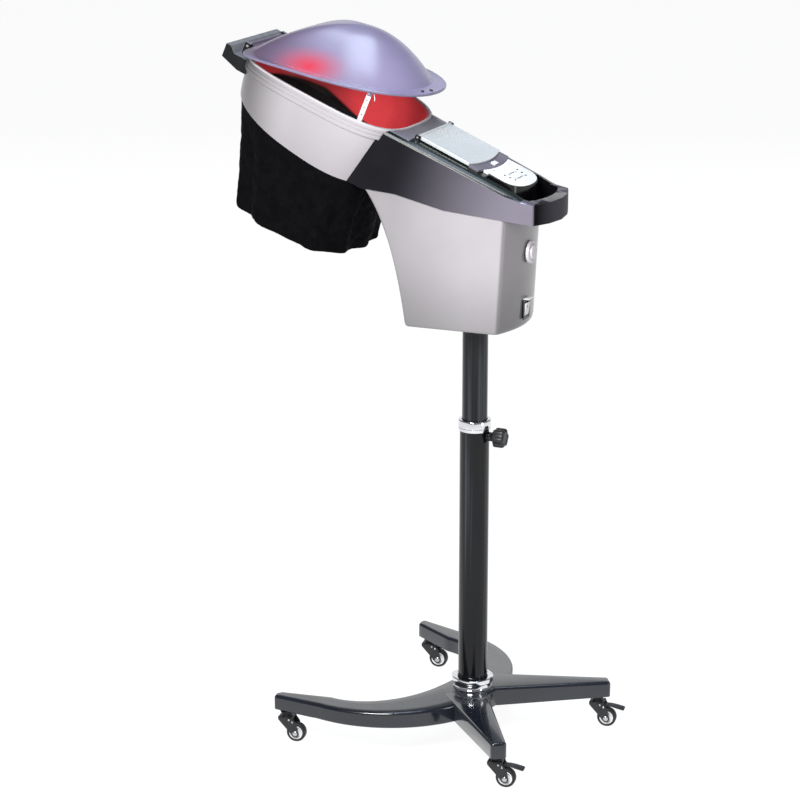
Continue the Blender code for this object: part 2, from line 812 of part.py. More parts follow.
def build_stand(root, finishes):
    stand = add_empty("stand_frame", root, rotation=(0, 0, STAND_YAW))
    shape = leg_casting(crescent_outline())
    crescent = add_solid("base_crescent", shape, stand, finishes["legs"])
    round_edges(crescent, LEG_EDGE)
    for side, label in ((-1, "left"), (1, "right")):
        footprint = prism(
            rear_leg_outline(side, SEAT_GAP), CASTER_HEIGHT - CUT_MARGIN, LEG_TOP + CUT_MARGIN
        )
        cut(crescent, add_helper(label + "_leg_seat", footprint, stand))
        leg_shape = leg_casting(rear_leg_outline(side, 0))
        leg = add_solid("rear_leg_" + label, leg_shape, stand, finishes["legs"])
        round_edges(leg, LEG_EDGE)
    bolt_hole = rod(HUB_BOLT_RADIUS + SEAT_GAP, LEG_HEIGHT + CUT_MARGIN, PIN_SIDES)
    hole_at = (0, 0, (CASTER_HEIGHT + LEG_TOP) / 2)
    cut(crescent, add_helper("hub_bolt_hole", placed(bolt_hole, hole_at), stand))
    foot_low = LEG_TOP + SEAT_GAP
    head_top = CASTER_HEIGHT - SEAT_GAP
    bolt = turned(
        (
            (HUB_BOLT_HEAD_RADIUS, head_top - HUB_BOLT_HEAD_LENGTH),
            (HUB_BOLT_HEAD_RADIUS, head_top),
            (HUB_BOLT_RADIUS, head_top),
            (HUB_BOLT_RADIUS, foot_low + FOOT_THICKNESS),
        ),
        PIN_SIDES,
        False,
    )
    add_solid("hub_bolt", bolt, stand, finishes["steel"])
    fork = fork_mesh(finishes["paint"])
    along = Vector((REAR_LEG_END_X - REAR_LEG_ROOT_X, REAR_LEG_END_Y - REAR_LEG_ROOT_Y))
    rear = Vector((REAR_LEG_END_X, REAR_LEG_END_Y)) - along.normalized() * REAR_CASTER_INSET
    for side, label in ((-1, "left"), (1, "right")):
        front_at = (FRONT_CASTER_X, side * FRONT_CASTER_Y)
        build_caster("front_" + label, *front_at, stand, fork, finishes, False)
        build_caster("rear_" + label, rear.x, side * rear.y, stand, fork, finishes, True)
    return stand


def build_mast(root, finishes):
    foot_low = LEG_TOP + SEAT_GAP
    inner = LOWER_TUBE_RADIUS - TUBE_WALL
    bolt_bore = HUB_BOLT_RADIUS + SEAT_GAP
    tube = turned(
        (
            (bolt_bore, foot_low),
            (LOWER_TUBE_RADIUS, foot_low),
            (LOWER_TUBE_RADIUS, LOWER_TUBE_TOP),
            (inner, LOWER_TUBE_TOP),
            (inner, foot_low + FOOT_THICKNESS),
            (bolt_bore, foot_low + FOOT_THICKNESS),
        ),
        TUBE_SIDES,
    )
    lower = add_solid("lower_mast", tube, root, finishes["paint"])
    boss_from = LOWER_TUBE_RADIUS - TUBE_WALL / 2
    boss_to = LOWER_TUBE_RADIUS + CLAMP_BOSS_LENGTH
    boss = rod(CLAMP_BOSS_RADIUS, boss_to - boss_from, BARREL_SIDES)
    boss_at = ((boss_to + boss_from) / 2, 0, KNOB_Z)
    join(lower, add_helper("clamp_boss", placed(boss, boss_at, ALONG_X), root))
    bore_length = boss_to - UPPER_TUBE_RADIUS + CUT_MARGIN
    bore = rod(CLAMP_SCREW_RADIUS + SEAT_GAP, bore_length, PIN_SIDES)
    bore_at = (UPPER_TUBE_RADIUS + bore_length / 2, 0, KNOB_Z)
    bore_helper = add_helper("clamp_bore", placed(bore, bore_at, ALONG_X), root)
    cut(lower, bore_helper)
    ring_inner = LOWER_TUBE_RADIUS + SEAT_GAP
    ring_top = foot_low + BASE_RING_HEIGHT
    base_ring = turned(
        (
            (ring_inner, foot_low),
            (BASE_RING_RADIUS, foot_low),
            (BASE_RING_RADIUS, ring_top - BASE_RING_EDGE),
            (BASE_RING_RADIUS - BASE_RING_EDGE, ring_top),
            (ring_inner, ring_top),
        ),
        TUBE_SIDES,
    )
    add_solid("base_ring", base_ring, root, finishes["chrome"])
    lip_low = LOWER_TUBE_TOP + SEAT_GAP
    clamp_top = lip_low + CLAMP_RING_LIP
    clamp_low = clamp_top - CLAMP_RING_HEIGHT
    lip_inner = UPPER_TUBE_RADIUS + RUNNING_GAP
    clamp = turned(
        (
            (ring_inner, clamp_low),
            (CLAMP_RING_RADIUS, clamp_low),
            (CLAMP_RING_RADIUS, clamp_top),
            (lip_inner, clamp_top),
            (lip_inner, lip_low),
            (ring_inner, lip_low),
        ),
        TUBE_SIDES,
    )
    add_solid("clamp_ring", clamp, root, finishes["chrome"])
    bush_outer = inner - SEAT_GAP
    bush = turned(
        (
            (lip_inner, LOWER_TUBE_TOP - BUSH_LENGTH),
            (bush_outer, LOWER_TUBE_TOP - BUSH_LENGTH),
            (bush_outer, LOWER_TUBE_TOP),
            (lip_inner, LOWER_TUBE_TOP),
        ),
        TUBE_SIDES,
    )
    guide = add_solid("guide_bush", bush, root, finishes["white"])
    cut(guide, bore_helper)
    knob_axis = add_empty("knob_axis", root, (0, 0, KNOB_Z), (0, math.radians(90), 0))
    build_knob(knob_axis, boss_to, finishes)
    lift = add_empty("mast_lift", root)
    tube_inner = UPPER_TUBE_RADIUS - TUBE_WALL
    upper = turned(
        (
            (tube_inner, UPPER_TUBE_BOTTOM),
            (UPPER_TUBE_RADIUS, UPPER_TUBE_BOTTOM),
            (UPPER_TUBE_RADIUS, MAST_TOP),
            (tube_inner, MAST_TOP),
        ),
        TUBE_SIDES,
    )
    add_solid("upper_mast", upper, lift, finishes["paint"])
    return lift


def build_knob(axis, boss_end, finishes):
    """A lobed grip on a screw, modelled along Z of its axis."""
    sides = KNOB_LOBE_STEPS * KNOB_LOBES
    low = boss_end + RUNNING_GAP

    def lobed(radius, height):
        points = []
        for k in range(sides):
            angle = 2 * math.pi * k / sides
            reach = radius + KNOB_LOBE * math.cos(KNOB_LOBES * angle)
            points.append((reach * math.cos(angle), reach * math.sin(angle), height))
        return points

    grip = loft(
        (
            lobed(KNOB_RADIUS - KNOB_BEVEL - KNOB_LOBE, low),
            lobed(KNOB_RADIUS - KNOB_LOBE, low + KNOB_BEVEL),
            lobed(KNOB_RADIUS - KNOB_LOBE, low + KNOB_LENGTH - KNOB_BEVEL),
            lobed(KNOB_RADIUS - KNOB_BEVEL - KNOB_LOBE, low + KNOB_LENGTH),
        )
    )
    knob = add_solid("clamp_knob", grip, axis, finishes["dark"])
    screw_from = UPPER_TUBE_RADIUS + RUNNING_GAP
    screw_to = low + KNOB_BEVEL
    screw = rod(CLAMP_SCREW_RADIUS, screw_to - screw_from, PIN_SIDES)
    join(knob, add_helper("clamp_screw", placed(screw, (0, 0, (screw_to + screw_from) / 2)), axis))


def body_loop(y, inset, rise):
    """The body's side outline at y, drawn in by an inset and with its top moved up."""
    half = BODY_HALF_WIDTH - inset
    over = max(abs(y) - (half - BODY_EDGE), 0)
    edge = BODY_EDGE - math.sqrt(max(BODY_EDGE**2 - over**2, 0))
    bulge = BODY_REAR_BULGE * (1 - (y / half) ** 2)
    low = BODY_BOTTOM + inset
    top = SEAM[0][1]
    loop = []
    for k in range(BODY_FRONT_STEPS + 1):
        t = k / BODY_FRONT_STEPS
        x = (
            (1 - t) ** 2 * BODY_FRONT_TOP_X
            + 2 * t * (1 - t) * BODY_FRONT_MID_X
            + t**2 * BODY_FRONT_LOW_X
        )
        z = (1 - t) ** 2 * top + 2 * t * (1 - t) * BODY_FRONT_MID_Z + t**2 * low
        x += inset + edge
        if k == 0:
            z = seam_height(x) + rise
        loop.append((x, y, z))
    loop.append((BODY_REAR_LOW_X + bulge - inset - edge, y, low))
    rear_x = BODY_REAR_TOP_X + bulge - inset - edge
    for x in (rear_x, SEAM[2][0], SEAM[1][0]):
        loop.append((x, y, seam_height(x) + rise))
    return tapered(loop)


def body_layers(inset):
    half = BODY_HALF_WIDTH - inset
    corner = half - BODY_EDGE
    right = (0, half / 2, corner, half - BODY_EDGE / 3, half)
    return [-y for y in reversed(right[1:])] + list(right)


def rear_face_x(z):
    """The rear of the body at mid width."""
    share = (z - BODY_BOTTOM) / (seam_height(BODY_REAR_TOP_X) - BODY_BOTTOM)
    return mix(BODY_REAR_LOW_X, BODY_REAR_TOP_X, share) + BODY_REAR_BULGE


def build_body(head, finishes):
    outer = loft([body_loop(y, 0, 0) for y in body_layers(0)])
    shell = add_solid("body_shell", outer, head, finishes["silver"])
    inner = loft([body_loop(y, BODY_WALL, CUT_MARGIN) for y in body_layers(BODY_WALL)])
    cut(shell, add_helper("body_hollow", inner, head))
    mast_hole = rod(UPPER_TUBE_RADIUS + RUNNING_GAP, BODY_WALL + CUT_MARGIN, TUBE_SIDES)
    cut(shell, add_helper("mast_hole", placed(mast_hole, (0, 0, BODY_BOTTOM)), head))
    floor = BODY_BOTTOM + BODY_WALL + SEAT_GAP
    bore = UPPER_TUBE_RADIUS + RUNNING_GAP
    cap_low = MAST_TOP + SEAT_GAP
    profile = (
        (bore, cap_low),
        (bore, floor),
        (SOCKET_FLANGE_RADIUS, floor),
        (SOCKET_FLANGE_RADIUS, floor + SOCKET_FLANGE_THICKNESS),
        (bore + SOCKET_WALL, floor + SOCKET_FLANGE_THICKNESS),
        (bore + SOCKET_WALL, cap_low + SOCKET_CAP_THICKNESS),
    )
    add_solid("mast_socket", turned(profile, TUBE_SIDES, False), head, finishes["dark"])
    build_rear_fittings(head, shell, finishes)
    build_inside(head, floor, finishes)


def build_rear_fittings(head, shell, finishes):
    cap_x = rear_face_x(CAP_Z) + CAP_LIFT
    cap_axis = add_empty("cap_axis", head, (cap_x, 0, CAP_Z), (0, math.radians(90), 0))
    rim = CAP_THICKNESS
    cap = turned(
        (
            (CAP_STEM_RADIUS, -CAP_STEM_LENGTH),
            (CAP_STEM_RADIUS, 0),
            (CAP_RADIUS, 0),
            (CAP_RADIUS, rim - CAP_CHAMFER),
            (CAP_RADIUS - CAP_CHAMFER, rim),
            (CAP_GRIP_RADIUS + CAP_GROOVE_WIDTH, rim),
            (CAP_GRIP_RADIUS, rim - CAP_GROOVE_DEPTH),
            (CAP_GRIP_RADIUS, rim + CAP_GRIP_LENGTH),
        ),
        TUBE_SIDES,
        False,
    )
    add_solid("rear_cap", cap, cap_axis, finishes["grey"])
    port = rod(CAP_STEM_RADIUS + RUNNING_GAP, 2 * CUT_MARGIN, TUBE_SIDES)
    cut(shell, add_helper("cap_port", port, cap_axis))
    bezel_low = rear_face_x(SWITCH_Z) + SWITCH_LIFT
    bezel_high = bezel_low + SWITCH_BEZEL_THICKNESS
    frame_y = SWITCH_HALF_WIDTH
    frame_z = SWITCH_HALF_HEIGHT
    bezel = box(
        bezel_low,
        bezel_high,
        -frame_y - SWITCH_BEZEL,
        frame_y + SWITCH_BEZEL,
        SWITCH_Z - frame_z - SWITCH_BEZEL,
        SWITCH_Z + frame_z + SWITCH_BEZEL,
    )
    frame = add_solid("switch_frame", bezel, head, finishes["black"])
    back = bezel_high - SWITCH_DEPTH
    can = box(
        back,
        bezel_high - SWITCH_BEZEL_THICKNESS / 2,
        -frame_y,
        frame_y,
        SWITCH_Z - frame_z,
        SWITCH_Z + frame_z,
    )
    join(frame, add_helper("switch_can", can, head))
    opening_y = frame_y - SWITCH_RIM
    opening_z = frame_z - SWITCH_RIM
    pocket_back = back + SWITCH_RIM
    pocket = box(
        pocket_back,
        bezel_high + CUT_MARGIN,
        -opening_y,
        opening_y,
        SWITCH_Z - opening_z,
        SWITCH_Z + opening_z,
    )
    cut(frame, add_helper("switch_pocket", pocket, head))
    gap = SEAT_GAP
    window = box(
        back - CUT_MARGIN,
        bezel_high,
        -frame_y - gap,
        frame_y + gap,
        SWITCH_Z - frame_z - gap,
        SWITCH_Z + frame_z + gap,
    )
    cut(shell, add_helper("switch_window", window, head))
    pivot_x = (pocket_back + bezel_high) / 2
    pivot = add_empty("rocker_axis", head, (pivot_x, 0, SWITCH_Z))
    reach = bezel_high - pivot_x
    half_z = opening_z - ROCKER_GAP
    outline = (
        (-reach / 2, -half_z / 2),
        (reach, -half_z),
        (reach + ROCKER_RISE / 2, 0),
        (reach + ROCKER_RISE, half_z),
        (-reach / 2, half_z / 2),
    )
    half_y = opening_y - RUNNING_GAP
    rocker = side_prism(outline, -half_y, half_y)
    add_solid("power_rocker", rocker, pivot, finishes["white"])
    gland_top = BODY_BOTTOM - SEAT_GAP
    gland = turned(
        (
            (GLAND_BORE_RADIUS, gland_top - GLAND_LENGTH),
            (GLAND_NOSE_RADIUS, gland_top - GLAND_LENGTH),
            (GLAND_RADIUS, gland_top - GLAND_LENGTH + GLAND_NOSE_LENGTH),
            (GLAND_RADIUS, gland_top),
            (GLAND_BORE_RADIUS, gland_top),
        ),
        BARREL_SIDES,
    )
    add_solid("cord_gland", placed(gland, (GLAND_X, 0, 0)), head, finishes["dark"])
    cord_hole = rod(GLAND_BORE_RADIUS, BODY_WALL + CUT_MARGIN, BARREL_SIDES)
    cut(shell, add_helper("cord_hole", placed(cord_hole, (GLAND_X, 0, BODY_BOTTOM)), head))


def build_inside(head, floor, finishes):
    neck_top = BOILER_TOP + BOILER_NECK_HEIGHT
    wall = BOILER_WALL
    boiler = turned(
        (
            (BOILER_RADIUS, BOILER_BOTTOM),
            (BOILER_RADIUS, BOILER_TOP),
            (BOILER_NECK_RADIUS, BOILER_TOP),
            (BOILER_NECK_RADIUS, neck_top),
            (BOILER_NECK_RADIUS - wall, neck_top),
            (BOILER_NECK_RADIUS - wall, BOILER_TOP - wall),
            (BOILER_RADIUS - wall, BOILER_TOP - wall),
            (BOILER_RADIUS - wall, BOILER_BOTTOM + wall),
        ),
        BARREL_SIDES,
        False,
    )
    add_solid("steam_boiler", boiler, head, finishes["steel"])
    heater_inner = BOILER_RADIUS + SEAT_GAP
    heater_low = BOILER_BOTTOM + HEATER_LIFT
    heater = turned(
        (
            (heater_inner, heater_low),
            (heater_inner + HEATER_THICKNESS, heater_low),
            (heater_inner + HEATER_THICKNESS, heater_low + HEATER_HEIGHT),
            (heater_inner, heater_low + HEATER_HEIGHT),
        ),
        BARREL_SIDES,
    )
    add_solid("band_heater", heater, head, finishes["steel"])
    board_low = floor + SOCKET_FLANGE_THICKNESS + SEAT_GAP
    board = box(
        BOARD_X - BOARD_THICKNESS / 2,
        BOARD_X + BOARD_THICKNESS / 2,
        -BOARD_HALF_WIDTH,
        BOARD_HALF_WIDTH,
        board_low,
        board_low + BOARD_HEIGHT,
    )
    add_solid("control_board", board, head, finishes["board"])
    build_duct(head, neck_top, finishes)


def build_duct(head, neck_top, finishes):
    """A hollow pipe from the boiler's neck, in front of the tank, through the hood's rear wall."""
    turn = from_tilted(DUCT_TURN_U, DUCT_W)
    entry = from_tilted(DUCT_ENTRY_U, DUCT_W)
    guide = [
        Vector((0, neck_top + SEAT_GAP)),
        Vector((0, neck_top + DUCT_RISE)),
        *(Vector(point) for point in DUCT_BENDS),
        Vector(turn),
        Vector(entry),
        Vector(from_tilted(DUCT_END_U, DUCT_W)),
    ]
    ends = [2 * guide[0] - guide[1]] + guide + [2 * guide[-1] - guide[-2]]
    path = []
    for a, b, c, d in zip(ends, ends[1:], ends[2:], ends[3:]):
        for k in range(DUCT_PATH_STEPS):
            t = k / DUCT_PATH_STEPS
            point = b * 2 + (c - a) * t + (a * 2 - b * 5 + c * 4 - d) * t**2
            point = point + (b * 3 - a - c * 3 + d) * t**3
            path.append(point / 2)
    path.append(guide[-1])
    outside = []
    inside = []
    for k, point in enumerate(path):
        before = path[max(k - 1, 0)]
        after = path[min(k + 1, len(path) - 1)]
        along = (after - before).normalized()
        if k == 0:
            along = Vector((0, 1))
        normal = Vector((along.y, -along.x))
        for radius, loops in ((DUCT_RADIUS, outside), (DUCT_RADIUS - DUCT_WALL, inside)):
            loop = []
            for x, y, _ in circle(radius, 0, DUCT_SIDES):
                centre = point + normal * x
                loop.append((centre.x, y, centre.y))
            loops.append(loop)
    add_solid("steam_duct", loft(outside + inside[::-1], True), head, finishes["dark"])


def build_hood(tilted, finishes):
    duct_length = HOOD_REAR - DUCT_END_U + 2 * CUT_MARGIN
    duct_hole = rod(DUCT_RADIUS + RUNNING_GAP, duct_length, TUBE_SIDES)
    hole_at = ((HOOD_REAR + DUCT_END_U) / 2, 0, DUCT_W)
    duct_way = add_helper("duct_way", placed(duct_hole, hole_at, ALONG_X), tilted)
    heights = wall_heights()
    loops = [hood_loop(w, 0) for w in heights]
    loops += [hood_loop(w, HOOD_WALL) for w in reversed(heights)]
    shell = add_solid("hood_shell", loft(loops, True), tilted, finishes["silver"])
    cut(shell, duct_way)
    half = RIM_GROOVE_WIDTH / 2
    step = -RIM_STEP
    profile = [(step, -RIM_HEIGHT)]
    for depth in (RIM_LOWER_GROOVE, RIM_UPPER_GROOVE):
        profile += [(step, -depth - half), (step + RIM_GROOVE, -depth), (step, half - depth)]
    profile += [(step, step / 2), (step / 2, 0), (HOOD_WALL, 0), (HOOD_WALL, -RIM_HEIGHT)]
    rim = loft([hood_loop(w, inset) for inset, w in profile], True)
    add_solid("hood_rim", rim, tilted, finishes["silver"])
    outer = HOOD_WALL + SEAT_GAP
    spans = (-LINER_TOP, -LINER_DEPTH / 3, -2 * LINER_DEPTH / 3, -LINER_DEPTH)
    loops = [hood_loop(w, outer) for w in spans]
    loops += [hood_loop(w, outer + LINER_WALL) for w in reversed(spans)]
    liner = add_solid("hood_liner", loft(loops, True), tilted, finishes["red"])
    cut(liner, duct_way)
    bar_rear = HOOD_REAR - outer - LINER_WALL - SEAT_GAP
    bar_low = -LIGHT_BAR_TOP - LIGHT_BAR_HEIGHT
    share = -bar_low / HOOD_DEPTH
    bar_rear -= (HOOD_REAR - HOOD_LOW_REAR) * share + LIGHT_BAR_STANDOFF
    bar = box(
        bar_rear - LIGHT_BAR_THICKNESS,
        bar_rear,
        -LIGHT_BAR_HALF_WIDTH,
        LIGHT_BAR_HALF_WIDTH,
        bar_low,
        -LIGHT_BAR_TOP,
    )
    add_solid("light_bar", bar, tilted, finishes["white"])
    stud_face = STAY_OUTER_Y - RUNNING_GAP
    stud_root = STUD_STANDOFF - hood_half_width(STAY_U, STUD_W, outer + LINER_WALL)
    stud = rod(STUD_RADIUS, stud_face - stud_root, PIN_SIDES)
    stud_at = (STAY_U, (stud_face + stud_root) / 2, STUD_W)
    add_solid("stay_stud", placed(stud, stud_at, ALONG_Y), tilted, finishes["steel"])
    return duct_way


def wall_heights():
    """The levels at which the hood's wall changes its outline, from the rim down."""
    top = -RIM_HEIGHT - SEAT_GAP
    return [mix(top, -HOOD_DEPTH, share) for share in HOOD_WALL_LEVELS]


def hood_envelope(gap):
    """The space of the hood and its rim, widened by a gap, carried on above and below."""
    heights = wall_heights()
    heights[0] -= gap
    below = -HOOD_DEPTH - HOOD_SEAT_DROP
    outer = -RIM_STEP - gap
    loops = [
        [(u, y, CUT_MARGIN) for u, y in hood_outline(0, outer)],
        [(u, y, RIM_GROOVE_WIDTH) for u, y in hood_outline(0, outer)],
        hood_loop(heights[0], outer),
    ]
    loops += [hood_loop(w, -gap) for w in heights]
    loops.append([(u, y, below) for u, y in hood_outline(-HOOD_DEPTH, -gap)])
    return loft(loops)


def build_bracket(tilted, finishes):
    """The dark front piece with a turned-up lip and the ears of the visor's hinge."""
    lip_rear = BRACKET_NOSE_U + BRACKET_LIP_WIDTH
    groove_u = lip_rear - BRACKET_GROOVE_W + BRACKET_LIP_W
    root = HOOD_FRONT + CUT_MARGIN
    outline = (
        (BRACKET_NOSE_U, BRACKET_NOSE_UNDERSIDE_W),
        (BRACKET_NOSE_U, BRACKET_LIP_W),
        (lip_rear, BRACKET_LIP_W),
        (groove_u, BRACKET_GROOVE_W),
        (root, BRACKET_GROOVE_W),
        (root, BRACKET_UNDERSIDE_W),
        (HOOD_FRONT - RIM_STEP, BRACKET_UNDERSIDE_W),
    )
    shape = side_prism(outline, -BRACKET_HALF_WIDTH, BRACKET_HALF_WIDTH)
    bracket = add_solid("front_bracket", shape, tilted, finishes["dark"])
    cut(bracket, add_helper("bracket_seat", hood_envelope(SEAT_GAP), tilted))
    ear_top = VISOR_HINGE_W + VISOR_EAR_HALF_LENGTH
    for side in (-1, 1):
        y_ends = sorted((side * VISOR_EAR_Y, side * (VISOR_EAR_Y + VISOR_EAR_THICKNESS)))
        ear = box(
            VISOR_HINGE_U - VISOR_EAR_HALF_LENGTH,
            VISOR_HINGE_U + VISOR_EAR_HALF_LENGTH,
            *y_ends,
            BRACKET_GROOVE_W - VISOR_EAR_HALF_LENGTH,
            ear_top,
        )
        join(bracket, add_helper("visor_ear", ear, tilted))
    pin_length = 2 * (VISOR_EAR_Y + VISOR_EAR_THICKNESS)
    hinge_at = (VISOR_HINGE_U, 0, VISOR_HINGE_W)
    hole = rod(VISOR_PIN_RADIUS + SEAT_GAP, pin_length + CUT_MARGIN, PIN_SIDES)
    cut(bracket, add_helper("visor_pin_hole", placed(hole, hinge_at, ALONG_Y), tilted))
    pin = placed(rod(VISOR_PIN_RADIUS, pin_length, PIN_SIDES), hinge_at, ALONG_Y)
    add_solid("visor_hinge_pin", pin, tilted, finishes["steel"])


def dome_loop(inset, height, base, share):
    """One ring of the dome, in the hinge's frame."""
    outline = rounded_outline(
        FLANGE_FRONT + DOME_FRONT_INSET + inset,
        FLANGE_REAR - DOME_REAR_INSET - inset,
        FLANGE_HALF_WIDTH - DOME_SIDE_INSET - inset,
        DOME_FRONT_SQUARENESS,
        DOME_REAR_SQUARENESS,
        HOOD_STEPS,
    )
    lift = height * (1 - share**DOME_ROUNDNESS) ** DOME_CROWN
    points = []
    for u, y in outline:
        x = mix(DOME_APEX_U, u, share) - VISOR_HINGE_U
        points.append((x, y * share, base + lift))
    return points


def build_visor(tilted, finishes):
    hinge_at = (VISOR_HINGE_U, 0, VISOR_HINGE_W)
    axis = add_empty("visor_axis", tilted, hinge_at, (0, -VISOR_OPEN, 0))
    low = FLANGE_LIFT - VISOR_HINGE_W
    high = low + FLANGE_THICKNESS
    flange = rounded_outline(
        FLANGE_FRONT,
        FLANGE_REAR,
        FLANGE_HALF_WIDTH,
        FLANGE_FRONT_SQUARENESS,
        FLANGE_REAR_SQUARENESS,
        HOOD_STEPS,
    )
    loops = [dome_loop(0, DOME_HEIGHT, high, share) for share in DOME_RINGS]
    for z in (high, low):
        loops.append([(u - VISOR_HINGE_U, y, z) for u, y in flange])
    inner_height = DOME_HEIGHT + FLANGE_THICKNESS - VISOR_WALL
    for share in reversed(DOME_INSIDE_RINGS):
        loops.append(dome_loop(VISOR_WALL, inner_height, low, share))
    visor = add_solid("visor", loft(loops), axis, finishes["visor"])
    tab_to = FLANGE_FRONT + VISOR_TAB_LAP - VISOR_HINGE_U
    half = VISOR_TAB_HALF_WIDTH
    tab = box(0, tab_to, -half, half, low + SEAT_GAP, high - SEAT_GAP)
    join(visor, add_helper("visor_tab", tab, axis))
    barrel = placed(rod(VISOR_BARREL_RADIUS, 2 * half, BARREL_SIDES), (0, 0, 0), ALONG_Y)
    join(visor, add_helper("visor_barrel", barrel, axis))
    bore = rod(VISOR_PIN_RADIUS + SEAT_GAP, 2 * half + CUT_MARGIN, PIN_SIDES)
    bore = placed(bore, (0, 0, 0), ALONG_Y)
    cut(visor, add_helper("visor_bore", bore, axis))
    build_stay(axis, visor, low, finishes)


def build_stay(axis, visor, flange_low, finishes):
    """The strap that props the visor, hung from a lug under the flange."""
    pivot_x = (STAY_U - VISOR_HINGE_U) / math.cos(VISOR_OPEN)
    pivot_z = flange_low - STAY_PIVOT_BELOW_FLANGE
    lug_inner = STAY_OUTER_Y - SEAT_GAP
    lug_outer = lug_inner - STAY_LUG_THICKNESS
    lug = box(
        pivot_x - STAY_LUG_HALF_LENGTH,
        pivot_x + STAY_LUG_HALF_LENGTH,
        lug_outer,
        lug_inner,
        flange_low - STAY_LUG_DEPTH,
        flange_low + FLANGE_THICKNESS / 2,
    )
    join(visor, add_helper("stay_lug", lug, axis))
    pivot_at = (pivot_x, STAY_OUTER_Y, pivot_z)
    hole = rod(STAY_PIN_RADIUS + SEAT_GAP, CUT_MARGIN, PIN_SIDES)
    cut(visor, add_helper("stay_pin_hole", placed(hole, pivot_at, ALONG_Y), axis))
    swing = add_empty("stay_axis", axis, (pivot_x, 0, pivot_z), (0, VISOR_OPEN, 0))
    half = STAY_HALF_WIDTH
    turns = [math.pi * k / STAY_END_STEPS for k in range(STAY_END_STEPS + 1)]
    outline = [(half * math.cos(a), half * math.sin(a)) for a in turns]
    outline += [(-half * math.cos(a), -STAY_LENGTH - half * math.sin(a)) for a in turns]
    inner = STAY_OUTER_Y + STAY_THICKNESS
    stay = add_solid("visor_stay", side_prism(outline, STAY_OUTER_Y, inner), swing, finishes["white"])
    for k in range(STAY_HOLES):
        hole = rod(STAY_HOLE_RADIUS, CUT_MARGIN, PIN_SIDES)
        hole_at = (0, STAY_OUTER_Y, -(k + 1) * STAY_HOLE_SPACING)
        cut(stay, add_helper("stay_hole", placed(hole, hole_at, ALONG_Y), swing))
    pin_inner = STAY_OUTER_Y + STAY_THICKNESS / 2
    pin = rod(STAY_PIN_RADIUS, pin_inner - lug_outer, PIN_SIDES)
    pin_at = (0, (pin_inner + lug_outer) / 2, 0)
    join(stay, add_helper("stay_pin", placed(pin, pin_at, ALONG_Y), swing))


def housing_rear(y):
    return HOUSING_REAR_X + HOUSING_REAR_BULGE * (1 - (y / HOUSING_HALF_WIDTH) ** 2)


def housing_loop(y):
    """The black housing's side outline at y, from its nose round the rear to the deck."""
    over = max(abs(y) - (HOUSING_HALF_WIDTH - SHOULDER_WIDTH), 0) / SHOULDER_WIDTH
    drop = SHOULDER_DROP * (1 - math.sqrt(max(1 - over**2, 0)))
    rear_x = housing_rear(y)
    loop = []
    for x in (SEAM[0][0], SEAM[1][0], SEAM[2][0], rear_x):
        loop.append((x, y, seam_height(x) + SEAT_GAP))
    loop.append((rear_x, y, GRIP_TOP_Z))
    loop.append((GRIP_KNEE_X, y, GRIP_KNEE_Z + GRIP_ROUNDING * (SHOULDER_DROP - drop)))
    for u in (DECK_REAR_U, DECK_FRONT_U):
        x, z = from_tilted(u, -drop)
        loop.append((x, y, z))
    x, z = from_tilted(DECK_FRONT_U, -HOOD_DEPTH)
    loop.append((x, y, z))
    return tapered(loop)


def housing_layers():
    half = HOUSING_HALF_WIDTH
    inner = half - SHOULDER_WIDTH
    curve = [mix(inner, half, share) for share in SHOULDER_LEVELS]
    right = [0, half / 2, inner, *curve, half]
    return [-y for y in reversed(right[1:])] + right


def housing_hollow():
    """The space under the deck, open to the body below."""
    half = HOUSING_HALF_WIDTH - HOUSING_SIDE_WALL
    inner = HOUSING_HALF_WIDTH - SHOULDER_WIDTH
    floor = seam_height(SEAM[-1][0]) - CUT_MARGIN
    rear_x = TROUGH_FRONT_X - HOUSING_WALL
    front_x = from_tilted(DECK_FRONT_U, -HOOD_DEPTH)[0] - CUT_MARGIN
    loops = []
    for y in (-half, -inner, inner, half):
        roof = -HOUSING_WALL
        if abs(y) > inner:
            roof -= SHOULDER_DROP
        loop = [
            (front_x, y, floor),
            (rear_x, y, floor),
            (rear_x, y, tilted_height(rear_x, roof)),
            (front_x, y, tilted_height(front_x, roof)),
        ]
        loops.append(tapered(loop))
    return loft(loops)


def trough_floor(x):
    return seam_height(x) + TROUGH_FLOOR


def trough_shape():
    loops = []
    for k in range(TROUGH_STEPS + 1):
        y = TROUGH_HALF_WIDTH * (2 * k / TROUGH_STEPS - 1)
        rear_x = housing_rear(y) - GRIP_WIDTH
        top = HOOD_ORIGIN_Z
        loop = [
            (TROUGH_FRONT_X, y, trough_floor(TROUGH_FRONT_X)),
            (rear_x, y, trough_floor(rear_x)),
            (rear_x, y, top),
            (TROUGH_FRONT_X, y, top),
        ]
        loops.append(tapered(loop))
    return loft(loops)


